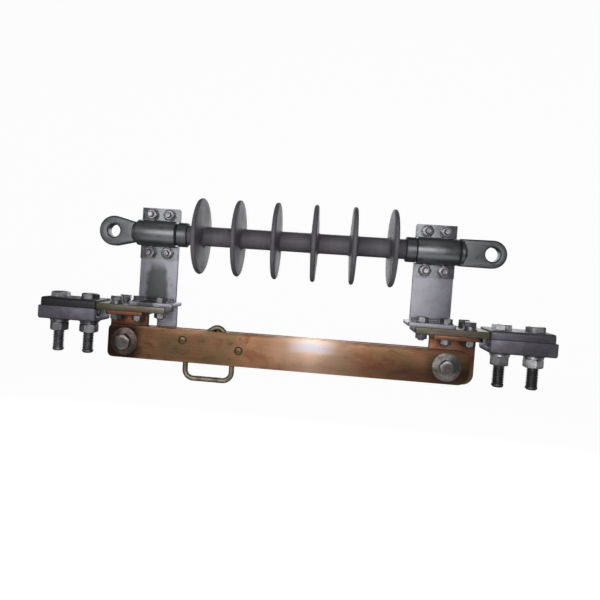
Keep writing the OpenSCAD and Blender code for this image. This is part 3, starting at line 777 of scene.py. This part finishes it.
def piece(node, shape, smooth=math.radians(35)):
    """Makes a shape the piece that stands for a CAD node, with that node's body, slot and finish."""
    mesh = bpy.data.meshes.new(node + "_detail")
    mesh.from_pydata([tuple(p) for p in shape[0]], [], shape[1])
    work = bmesh.new()
    work.from_mesh(mesh)
    bmesh.ops.remove_doubles(work, verts=work.verts, dist=2e-6)
    bmesh.ops.dissolve_degenerate(work, edges=work.edges, dist=1e-6)
    bmesh.ops.recalc_face_normals(work, faces=work.faces)
    work.to_mesh(mesh)
    work.free()
    mesh.polygons.foreach_set("use_smooth", [True] * len(mesh.polygons))
    mesh.set_sharp_from_angle(angle=smooth)
    made = bpy.data.objects.new(node + "_detail", mesh)
    bpy.context.scene.collection.objects.link(made)
    mesh.materials.append(finish_for(node))
    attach(made, BODY_OF[node])
    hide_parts(node)
    return made


# ---------------------------------------------------------------- pieces

def shed_profile(centre, sheath, rim_radius, rim, root):
    """(place, radius) points over one shed: filleted root, tapering flanks, round rim."""
    flank = []
    for i in range(7):
        angle = math.radians(90 * i / 6)
        flank.append((root / 2 - 3.2 * MM * math.sin(angle), sheath + 4.5 * MM * (1 - math.cos(angle))))
    flank += [(rim / 2 + 1.3 * MM, sheath + 13 * MM), (rim / 2 + 0.6 * MM, sheath + 23 * MM),
              (rim / 2, rim_radius - rim / 2)]
    edge = [(rim / 2 * math.cos(math.radians(a)), rim_radius - rim / 2 + rim / 2 * math.sin(math.radians(a)))
            for a in range(165, 0, -15)]
    return ([(centre - x, r) for x, r in flank] + [(centre + x, r) for x, r in edge]
            + [(centre + x, r) for x, r in reversed(flank)])


def build_insulator():
    low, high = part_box("insulator_housing")
    s = sizes()
    sheath = s.sheath / 2
    count, first, pitch = 6, 112.6 * MM, 48 * MM
    profile = [(low.x, 0.0), (low.x, sheath)]
    for i in range(count):
        profile += shed_profile(first + i * pitch, sheath, high.z, s.shed_rim, s.shed_root)
    profile += [(high.x, sheath), (high.x, 0.0)]
    piece("insulator_housing", placed(turned(profile, 160, seam=s.mould_line), (0, 0, 0), X_AXIS))


def eye_plate(centre_x, radius, thick, hole, neck, edge):
    """A flat eye across Y; neck is (x, half height), where the eye meets its barrel."""
    side = 1 if neck[0] > centre_x else -1
    tangent = math.degrees(math.acos(min(1.0, (radius - neck[1]) / abs(neck[0] - centre_x))))
    if side > 0:
        outline = (arc((centre_x, 0), radius, tangent, 360 - 2 * tangent, 56)
                   + [(neck[0], -neck[1]), (neck[0], neck[1])])
    else:
        outline = (arc((centre_x, 0), radius, 180 + tangent, 360 - 2 * tangent, 56)
                   + [(neck[0], neck[1]), (neck[0], -neck[1])])
    flat = plate(outline, thick, edge, [circle((centre_x, 0), hole)], steps=4)
    return placed(flat, (0, thick / 2, 0), FRONT)


def barrel_profile(near, far, collar, barrel, mouth):
    """Turned outline of a crimped barrel, from its neck to its collar's mouth."""
    step = 1 if far > near else -1
    start = far - step * collar
    points = [(near, 0.0), (near, barrel - 3.2 * MM), (near + step * 1.2 * MM, barrel - 1.2 * MM),
              (near + step * 3.4 * MM, barrel)]
    crimp = start - step * 3 * MM
    points += [(crimp, barrel), (start - step * 1.2 * MM, barrel + 0.6 * MM), (start, mouth - 0.9 * MM),
               (start + step * 0.9 * MM, mouth), (far - step * 1.8 * MM, mouth),
               (far - step * 0.5 * MM, mouth - 0.6 * MM), (far, mouth - 1.8 * MM)]
    lip = 12.05 * MM
    return points + [(far, lip), (far - step * 6 * MM, lip), (far - step * 6 * MM, 0.0)]


def build_end_fittings():
    low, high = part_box("end_fitting_left")
    edge = sizes().forged_edge
    barrel, mouth, collar, thick = 13.3 * MM, 15.5 * MM, 13 * MM, 16 * MM
    neck = 24 * MM
    left = joined(
        eye_plate(0.0, -low.x, thick, 8 * MM, (neck + 4 * MM, barrel - 0.6 * MM), edge),
        placed(turned(barrel_profile(neck, high.x, collar, barrel, mouth)), (0, 0, 0), X_AXIS))
    piece("end_fitting_left", left)

    low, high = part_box("end_fitting_right")
    radius = 17 * MM
    centre, shoulder = high.x - radius, 435 * MM
    cone = turned([(shoulder - 4 * MM, 0), (shoulder - 4 * MM, barrel - 1 * MM),
                   (shoulder - 2 * MM, 15.2 * MM), (shoulder - 1 * MM, 16 * MM), (shoulder + 2 * MM, 16 * MM),
                   (shoulder + 5 * MM, 10.5 * MM), (shoulder + 6 * MM, 9.5 * MM), (shoulder + 6 * MM, 0)])
    right = joined(
        eye_plate(centre, radius, thick, 8.75 * MM, (shoulder - 2 * MM, radius - 0.4 * MM), edge),
        placed(cone, (0, 0, 0), X_AXIS),
        placed(turned(barrel_profile(shoulder, low.x, collar, barrel, mouth)), (0, 0, 0), X_AXIS))
    piece("end_fitting_right", right)


def upright(outline, near_y, far_y, edge, holes=()):
    """Plate whose outline lies in the XZ plane, from near_y back to far_y."""
    flat = plate([(x, z) for x, z in outline], far_y - near_y, edge, holes)
    return placed(flat, (0, far_y, 0), FRONT)


def build_hangers():
    s = sizes()
    for side in ("left", "right"):
        low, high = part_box("hanger_" + side)
        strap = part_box("strap_" + side)
        front, foot = strap[1].y, 5 * MM
        x0, x1 = strap[0].x, strap[1].x
        corners = [0.5 * MM, 0.5 * MM, 3 * MM, 3 * MM]
        back_plate = upright(rounded((x0, low.z + 0.5 * MM), (x1, high.z), corners),
                             front, high.y, s.sheet_edge)
        floor = placed(plate(rounded((low.x, low.y), (high.x, high.y), [3 * MM, 3 * MM, 1.5 * MM, 1.5 * MM]),
                             foot, s.sheet_edge), (0, 0, low.z))
        seam = low.z + foot + 0.4 * MM
        weld = bead((x0 + 2 * MM, front - 0.4 * MM, seam), (x1 - 2 * MM, front - 0.4 * MM, seam), s.weld)
        piece("hanger_" + side, joined(back_plate, floor, weld))
    low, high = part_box("blade_guide")
    piece("blade_guide", upright(rounded((low.x, low.z), (high.x, high.z), [6 * MM, 6 * MM, 1 * MM, 1 * MM]),
                                 low.y, high.y, s.sheet_edge))


def build_straps():
    thick, bend = 3 * MM, 2.6 * MM
    for side in ("left", "right"):
        low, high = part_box("strap_" + side)
        saddle = -low.y - thick / 2
        ear_y = high.y - thick / 2
        ear = high.z - saddle - bend
        leg = ear_y - bend
        route = trace((ear_y, high.z), 270, [ear, (bend, -90), leg, (saddle, 180), leg, (bend, -90), ear])
        section = plate(strip(route, thick), high.x - low.x, 0.7 * MM, steps=2)
        turn = Matrix(((0, 0, 1, 0), (1, 0, 0, 0), (0, 1, 0, 0), (0, 0, 0, 1)))   # local XY becomes YZ
        piece("strap_" + side, placed(section, (low.x, 0, 0), turn))


def build_strap_hardware():
    for side in ("left", "right"):
        bolts, nuts = [], []
        for box in solids("strap_bolts_" + side):
            spot = middle(box)
            head_y = box[1].y - M8["head"]
            reach = head_y - box[0].y
            bolts.append(placed(bolt(M8, reach, reach - 2 * MM), (spot.x, head_y, spot.z), BACK))
        for box in solids("strap_nuts_" + side):
            spot = middle(box)
            rest = (spot.x, box[1].y, spot.z)
            nuts += [placed(washer(M8, 8 * MM, 1.2 * MM), rest, BACK),
                     placed(nut(M8), (rest[0], rest[1] - 1.2 * MM, rest[2]), BACK)]
        piece("strap_bolts_" + side, joined(*bolts))
        piece("strap_nuts_" + side, joined(*nuts))


def build_bars():
    edge = 0.9 * MM
    for side in ("left", "right"):
        low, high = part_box("terminal_bar_" + side)
        clamp_low, clamp_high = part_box("clamp_shell_" + side)
        tail = 19.5 * MM
        r = 2.5 * MM
        if side == "left":
            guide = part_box("blade_guide")[0]
            notch = (guide.x - 0.4 * MM, guide.y - 0.4 * MM)
            inner = clamp_high.x
            outline = (rounded((low.x, -tail), (inner, tail), 2 * MM)[:7] + [(inner, -tail)]
                       + arc((inner + r, low.y + r), r, 180, 90, 5)
                       + arc((high.x - r, low.y + r), r, 270, 90, 5)
                       + [(high.x, notch[1]), notch, (notch[0], high.y)]
                       + arc((inner + r, high.y - r), r, 90, 90, 5) + [(inner, tail)]
                       + arc((low.x + 2 * MM, tail - 2 * MM), 2 * MM, 90, 90, 6))
        else:
            inner = clamp_low.x
            outline = (arc((low.x + r, low.y + r), r, 180, 90, 5) + arc((inner - r, low.y + r), r, 270, 90, 5)
                       + [(inner, -tail)] + arc((high.x - 2 * MM, -tail + 2 * MM), 2 * MM, 270, 90, 6)
                       + arc((high.x - 2 * MM, tail - 2 * MM), 2 * MM, 0, 90, 6) + [(inner, tail)]
                       + arc((inner - r, high.y - r), r, 0, 90, 5)
                       + arc((low.x + r, high.y - r), r, 90, 90, 5))
        piece("terminal_bar_" + side, placed(plate(outline, high.z - low.z, edge), (0, 0, low.z)))


def build_contacts():
    s = sizes()
    flange, half = 5 * MM, 4 * MM
    for node in ("jaw_contact", "hinge_contact"):
        low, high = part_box(node)
        top = high.z - flange
        deck = placed(plate(rounded((low.x, low.y), (high.x, high.y), 2.5 * MM), flange, s.copper_edge),
                      (0, 0, top))
        if node == "jaw_contact":
            centre, gap = middle(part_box("jaw_bolt")), 7 * MM
            flare = 3 * MM
            outline = (rounded((low.x, low.z), (centre.x - gap - flare, top), 3 * MM)[:7]
                       + [(centre.x - gap - flare, low.z), (centre.x - gap, low.z + 2 * flare)]
                       + arc((centre.x, centre.z), gap, 180, -180, 16)
                       + [(centre.x + gap, low.z + 2 * flare), (centre.x + gap + flare, low.z)]
                       + arc((high.x - 3 * MM, low.z + 3 * MM), 3 * MM, 270, 90, 6)
                       + [(high.x, top + 1 * MM), (low.x, top + 1 * MM)])
        else:
            corner = 13 * MM
            outline = (arc((low.x + 3 * MM, low.z + 3 * MM), 3 * MM, 180, 90, 6)
                       + arc((high.x - corner, low.z + corner), corner, 270, 90, 16)
                       + [(high.x, top + 1 * MM), (low.x, top + 1 * MM)])
        tongue = upright(outline, -half, half, s.copper_edge)
        fillets = [bead((low.x + 1.5 * MM, y, top), (high.x - 1.5 * MM, y, top), 2.2 * MM)
                   for y in (-half, half)]
        piece(node, joined(deck, tongue, *fillets))


def build_contact_hardware():
    head_width = 15.5 * MM      # a wider solid has its washers in it, and the head stands on a stack
    for side in ("left", "right"):
        bolts, nuts = [], []
        for box in solids("contact_bolts_" + side):
            spot = middle(box)
            head = box[1].z - M8["head"]
            stacked = box[1].x - box[0].x > head_width
            base = head - 4.5 * MM if stacked else head - 0.1 * MM
            bolts.append(placed(washer(M8, 8 * MM, 1.6 * MM), (spot.x, spot.y, base + 1.6 * MM)))
            if stacked:
                bolts.append(placed(spring_ring(M8, 2.2 * MM), (spot.x, spot.y, head),
                                    Matrix.Rotation(40 * spot.y, 4, "Z")))
            rest = head if stacked else base + 1.6 * MM
            bolts.append(placed(bolt(M8, rest - box[0].z, 14 * MM), (spot.x, spot.y, rest),
                                Matrix.Rotation(0.4 + 9 * spot.x, 4, "Z")))
        for box in solids("contact_nuts_" + side):
            spot = middle(box)
            turn = Matrix.Rotation(0.9 + 7 * spot.x, 4, "Z")
            nuts.append(placed(nut(M8), (spot.x, spot.y, box[1].z), turn))
        piece("contact_bolts_" + side, joined(*bolts))
        piece("contact_nuts_" + side, joined(*nuts))


def build_clamps():
    edge = sizes().cast_edge
    across = Matrix(((0, 0, 1, 0), (1, 0, 0, 0), (0, 1, 0, 0), (0, 0, 0, 1)))     # local XY becomes YZ
    for side in ("left", "right"):
        low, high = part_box("clamp_shell_" + side)
        lip, web = 4.6 * MM, 2.5 * MM
        inner = high.z - web
        outline = (arc((low.y + 1.2 * MM, low.z + 1.2 * MM), 1.2 * MM, 180, 90, 4)
                   + [(low.y + lip, low.z), (low.y + lip + 0.5 * MM, inner), (high.y - lip - 0.5 * MM, inner),
                      (high.y - lip, low.z)]
                   + arc((high.y - 1.2 * MM, low.z + 1.2 * MM), 1.2 * MM, 270, 90, 4)
                   + arc((high.y - 3.5 * MM, high.z - 3.5 * MM), 3.5 * MM, 0, 90, 6)
                   + arc((low.y + 3.5 * MM, high.z - 3.5 * MM), 3.5 * MM, 90, 90, 6))
        shell = placed(plate(outline, high.x - low.x, 1.0 * MM), (low.x, 0, 0), across)
        piece("clamp_shell_" + side, shell)

        low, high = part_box("clamp_keeper_" + side)
        groove, place = 5 * MM, 14.5 * MM
        level = high.z - groove
        outline = (arc((low.y + 4 * MM, low.z + 4 * MM), 4 * MM, 180, 90, 8)
                   + arc((high.y - 4 * MM, low.z + 4 * MM), 4 * MM, 270, 90, 8)
                   + arc((high.y - 1 * MM, high.z - 1 * MM), 1 * MM, 0, 90, 4))
        for y in (place, -place):
            outline += [(y + groove, high.z)] + arc((y, level), groove, 0, -180, 16) + [(y - groove, high.z)]
        outline += arc((low.y + 1 * MM, high.z - 1 * MM), 1 * MM, 90, 90, 4)
        keeper = placed(plate(outline, high.x - low.x, edge), (low.x, 0, 0), across)
        piece("clamp_keeper_" + side, keeper)


def build_clamp_hardware():
    turns = {"left": ((30, 4), (8, 24)), "right": ((30, 58), (14, 30))}      # degrees: heads, nuts
    for side in ("left", "right"):
        bolts, flats, nuts = [], [], []
        heads, ends = [[Matrix.Rotation(math.radians(a), 4, "Z") for a in pair] for pair in turns[side]]
        for box, spin in zip(solids("clamp_bolts_" + side), heads):
            spot = middle(box)
            head = box[1].z - M14["head"]
            bolts.append(placed(bolt(M14, head - box[0].z, 48 * MM), (spot.x, spot.y, head), spin))
        for box in solids("clamp_washers_" + side):
            spot = middle(box)
            flats.append(placed(washer(M14, 13.5 * MM, 2 * MM), (spot.x, spot.y, box[1].z)))
        for box, spin in zip(solids("clamp_nuts_" + side), ends):
            spot = middle(box)
            nuts += [placed(spring_ring(M14, 2.4 * MM), (spot.x, spot.y, box[1].z), spin),
                     placed(nut(M14), (spot.x, spot.y, box[1].z - 3.2 * MM), spin)]
        piece("clamp_bolts_" + side, joined(*bolts))
        piece("clamp_washers_" + side, joined(*flats))
        piece("clamp_nuts_" + side, joined(*nuts))


def build_blade():
    edge = sizes().copper_edge
    for node in ("blade_front", "blade_rear"):
        low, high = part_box(node)
        tail, clip = 14 * MM, 7 * MM
        outline = ([(low.x, low.z + clip + 2 * MM)] + arc((low.x + clip, low.z + clip), clip, 195, 60, 6)
                   + [(low.x + clip + 2 * MM, low.z)]
                   + arc((high.x - tail, low.z + tail), tail, 270, 90, 16)
                   + arc((high.x - tail, high.z - tail), tail, 0, 90, 16)
                   + [(low.x + clip + 2 * MM, high.z)] + arc((low.x + clip, high.z - clip), clip, 105, 60, 6)
                   + [(low.x, high.z - clip - 2 * MM)])
        piece(node, upright(outline, low.y, high.y, edge))
    rivets, tubes = [], []
    for box in solids("blade_rivets"):
        spot, head, dome = middle(box), box[1].y, 2 * MM
        cap = [(head - dome, 2.9 * MM), (head - dome, 5.5 * MM)]
        cap += [(head - dome + 1.9 * MM * math.sin(math.radians(a)), 5.5 * MM * math.cos(math.radians(a)))
                for a in (15, 30, 45, 60, 75)] + [(head - 0.1 * MM, 0.0)]
        whole = [(-h, r) for h, r in reversed(cap)] + cap
        rivets.append(placed(turned(whole, 40), (spot.x, 0, spot.z), BACK))
    for box in solids("blade_spacers"):
        spot, half = middle(box), box[1].y
        tubes.append(placed(turned([(-half, 3.1 * MM), (-half, 4.7 * MM), (0.3 * MM - half, 5 * MM),
                                    (half - 0.3 * MM, 5 * MM), (half, 4.7 * MM), (half, 3.1 * MM)],
                                   40, closed=True), (spot.x, 0, spot.z), BACK))
    piece("blade_rivets", joined(*rivets))
    piece("blade_spacers", joined(*tubes))


def build_blade_hardware():
    for end in ("jaw", "hinge"):
        low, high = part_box(end + "_bolt")
        spot = (low + high) / 2
        head_y = low.y + M12["head"]
        spin = Matrix.Rotation(0.35 if end == "jaw" else 0.8, 4, "Z")
        shank = placed(bolt(M12, high.y - head_y, 16 * MM), (spot.x, head_y, spot.z), FRONT @ spin)
        piece(end + "_bolt", shank)
        cups = []
        for box in solids(end + "_spring_washers"):
            turn, rest = (FRONT, box[1].y) if box[0].y < 0 else (BACK, box[0].y)
            radius, hole, tall, gauge = (box[1].x - box[0].x) / 2, 6.1 * MM, 3 * MM, 1.3 * MM
            dish = [(0.0, radius - 0.4 * MM), (0.35 * MM, radius), (gauge, radius - 0.2 * MM),
                    (1.8 * MM, 0.80 * radius), (2.5 * MM, 0.62 * radius), (tall, 0.50 * radius), (tall, hole),
                    (tall - gauge, hole), (tall - gauge, 0.5 * radius), (0.9 * MM, 0.70 * radius)]
            cups.append(placed(turned(dish, 64, closed=True), (spot.x, rest, spot.z), turn))
        piece(end + "_spring_washers", joined(*cups))
        low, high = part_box(end + "_nut")
        piece(end + "_nut", placed(nut(M12), (spot.x, low.y, spot.z), FRONT @ spin))


def build_pull_ring():
    low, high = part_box("pull_ring")
    wire = (high.y - low.y) / 2
    left, right = low.x + wire, high.x - wire
    foot_r, head_r, turn_r = 11 * MM, 9 * MM, 12 * MM
    head_x, head_z = (left + right) / 2 + 9 * MM, high.z - wire - head_r
    foot, runs, legs = low.z + wire, [], []
    for leg_x, side, slope in ((left, -1, 35), (right, 1, 45)):
        lean = math.radians(slope)
        reach = side * (leg_x - head_x) - turn_r * (1 - math.sin(lean)) - head_r * math.sin(lean)
        drop = reach * math.tan(lean)
        runs.append(reach / math.cos(lean))
        legs.append(head_z + (head_r - turn_r) * math.cos(lean) - drop - (foot + foot_r))
    route = trace((left + foot_r, foot), 0,
                  [right - left - 2 * foot_r, (foot_r, 90), legs[1], (turn_r, 45), runs[1],
                   (head_r, 80), runs[0], (turn_r, 55), legs[0], (foot_r, 90)])
    piece("pull_ring", tube(route[:-1], wire, 24))


# ---------------------------------------------------------------- stage

def camera_axes(turn, tilt, roll):
    """The camera's right, forward and up directions."""
    matrix = Matrix.Rotation(roll, 3, "Y") @ Matrix.Rotation(tilt, 3, "X") @ Matrix.Rotation(-turn, 3, "Z")
    return matrix[0].copy(), matrix[1].copy(), matrix[2].copy()


def area_light(name, spot, aim, width, tall, power, tint):
    light = bpy.data.lights.new(name, "AREA")
    light.shape, light.size, light.size_y = "RECTANGLE", width, tall
    light.energy, light.color = power, tint
    made = bpy.data.objects.new(name, light)
    made.location = spot
    made.rotation_euler = (Vector(aim) - Vector(spot)).to_track_quat("-Z", "Y").to_euler()
    bpy.context.scene.collection.objects.link(made)
    return made


def build_stage():
    studio = bpy.context.scene.switch_studio
    floor_z, reach, bend, wall = -0.66, 2.6, 1.4, 2.6
    profile = [(floor_z, 0.0), (floor_z, reach)]
    profile += [(floor_z + bend - bend * math.cos(math.radians(a)), reach + bend * math.sin(math.radians(a)))
                for a in range(10, 91, 10)] + [(floor_z + bend + wall, reach + bend)]
    shape = turned(profile, 96)
    mesh = bpy.data.meshes.new("backdrop")
    mesh.from_pydata([tuple(p) for p in shape[0]], [], shape[1])
    mesh.polygons.foreach_set("use_smooth", [True] * len(mesh.polygons))
    backdrop = bpy.data.objects.new("backdrop", mesh)
    bpy.context.scene.collection.objects.link(backdrop)
    pale = bpy.data.materials.new("pale_backdrop")
    pale.use_nodes = True
    shader = pale.node_tree.nodes["Principled BSDF"]
    shader.inputs["Base Color"].default_value = (*studio.backdrop, 1)
    shader.inputs["Roughness"].default_value = 0.9
    shader.inputs["Emission Color"].default_value = (1, 1, 1, 1)
    shader.inputs["Emission Strength"].default_value = 0.94
    mesh.materials.append(pale)
    backdrop.visible_glossy = False
    backdrop.visible_diffuse = False

    scene = bpy.context.scene
    scene.view_settings.view_transform = "Standard"
    world = bpy.data.worlds.new("studio")
    scene.world = world
    world.use_nodes = True
    world.node_tree.nodes["Background"].inputs["Color"].default_value = (0.95, 0.97, 1.0, 1)
    world.node_tree.nodes["Background"].inputs["Strength"].default_value = 0.06

    right, forward, up = camera_axes(studio.turn, studio.tilt, studio.roll)
    eye = Vector(studio.aim) - forward * studio.distance
    area_light("front_softbox", eye + Vector((-0.13, -0.15, 0.14)), (0.20, 0, -0.05), 1.0, 0.42, 4.2,
               (1.0, 0.99, 0.97))
    area_light("low_flash", (0.225, -0.70, -0.215), (0.25, 0, -0.13), 0.26, 0.07, 0.20, (1.0, 0.97, 0.95))
    area_light("top_softbox", (0.2, -0.35, 1.2), (0.23, 0, -0.05), 1.3, 0.5, 0.8, (1.0, 1.0, 1.0))
    area_light("left_fill", (-1.2, -0.2, 0.15), (0.1, 0, -0.02), 0.8, 0.7, 1.8, (1.0, 1.0, 1.0))
    area_light("right_fill", (1.7, -0.2, 0.15), (0.35, 0, -0.02), 0.8, 0.7, 1.4, (1.0, 1.0, 1.0))
    area_light("floor_bounce", (0.23, -0.5, -0.6), (0.23, 0, -0.03), 1.4, 0.5, 1.6, (1.0, 0.98, 0.97))
    area_light("rear_fill", (0.25, 1.3, 0.30), (0.23, 0, -0.06), 1.7, 1.0, 12.0, (0.97, 0.98, 1.0))

    data = bpy.data.cameras.new("camera")
    camera = bpy.data.objects.new("camera", data)
    scene.collection.objects.link(camera)
    camera.matrix_world = Matrix((
        (right.x, up.x, -forward.x, eye.x),
        (right.y, up.y, -forward.y, eye.y),
        (right.z, up.z, -forward.z, eye.z),
        (0, 0, 0, 1)))
    data.sensor_width, data.lens = 36, studio.lens
    data.shift_x, data.shift_y = studio.shift
    data.clip_start, data.clip_end = 0.01, 50
    scene.camera = camera


# ---------------------------------------------------------------- the add-on

def operator(name, label, docs, builder):
    """An operator class that runs one builder and raises what goes wrong."""
    def execute(self, context):
        builder()
        return {"FINISHED"}

    return type("SWITCH_OT_" + name, (bpy.types.Operator,), {
        "__doc__": docs, "bl_idname": "switch." + name, "bl_label": label, "execute": execute})


OPERATORS = [
    operator("insulator", "Insulator", "Moulds the polymer housing with its sheds", build_insulator),
    operator("end_fittings", "End fittings", "Forges the eye and tongue fittings", build_end_fittings),
    operator("hangers", "Hangers", "Cuts and welds the hanger plates and the guide", build_hangers),
    operator("straps", "Straps", "Bends the saddle straps", build_straps),
    operator("strap_hardware", "Strap hardware", "Adds the straps' bolts and nuts", build_strap_hardware),
    operator("bars", "Terminal bars", "Cuts the terminal bars", build_bars),
    operator("contacts", "Contacts", "Brazes the jaw and hinge contacts", build_contacts),
    operator("contact_hardware", "Contact hardware", "Adds the contacts' bolts and nuts",
             build_contact_hardware),
    operator("clamps", "Clamps", "Casts the conductor clamps", build_clamps),
    operator("clamp_hardware", "Clamp hardware", "Adds the clamps' bolts, washers and nuts",
             build_clamp_hardware),
    operator("blade", "Blade", "Cuts the blade bars and rivets them", build_blade),
    operator("blade_hardware", "Blade hardware", "Adds the jaw and hinge bolts", build_blade_hardware),
    operator("pull_ring", "Pull ring", "Bends the pull ring", build_pull_ring),
    operator("stage", "Stage", "Sets the backdrop, lights and camera", build_stage),
]


class SWITCH_PT_panel(bpy.types.Panel):
    """Lists the pieces of the switch"""
    bl_idname = "SWITCH_PT_panel"
    bl_label = "In-line disconnect switch"
    bl_space_type = "VIEW_3D"
    bl_region_type = "UI"
    bl_category = "Switch"

    def draw(self, context):
        for made in OPERATORS:
            self.layout.operator(made.bl_idname)
        for group in (context.scene.switch_sizes, context.scene.switch_colours, context.scene.switch_studio):
            box = self.layout.box()
            for name in group.__annotations__:
                box.prop(group, name)


CLASSES = (SwitchSizes, SwitchColours, SwitchStudio, *OPERATORS, SWITCH_PT_panel)


def register():
    for made in CLASSES:
        bpy.utils.register_class(made)
    bpy.types.Scene.switch_sizes = bpy.props.PointerProperty(type=SwitchSizes)
    bpy.types.Scene.switch_colours = bpy.props.PointerProperty(type=SwitchColours)
    bpy.types.Scene.switch_studio = bpy.props.PointerProperty(type=SwitchStudio)


def unregister():
    del bpy.types.Scene.switch_studio
    del bpy.types.Scene.switch_colours
    del bpy.types.Scene.switch_sizes
    for made in reversed(CLASSES):
        bpy.utils.unregister_class(made)


def main():
    register()
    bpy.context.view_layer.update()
    for made in OPERATORS:
        group, name = made.bl_idname.split(".")
        getattr(getattr(bpy.ops, group), name)()


if __name__ == "__main__":
    main()
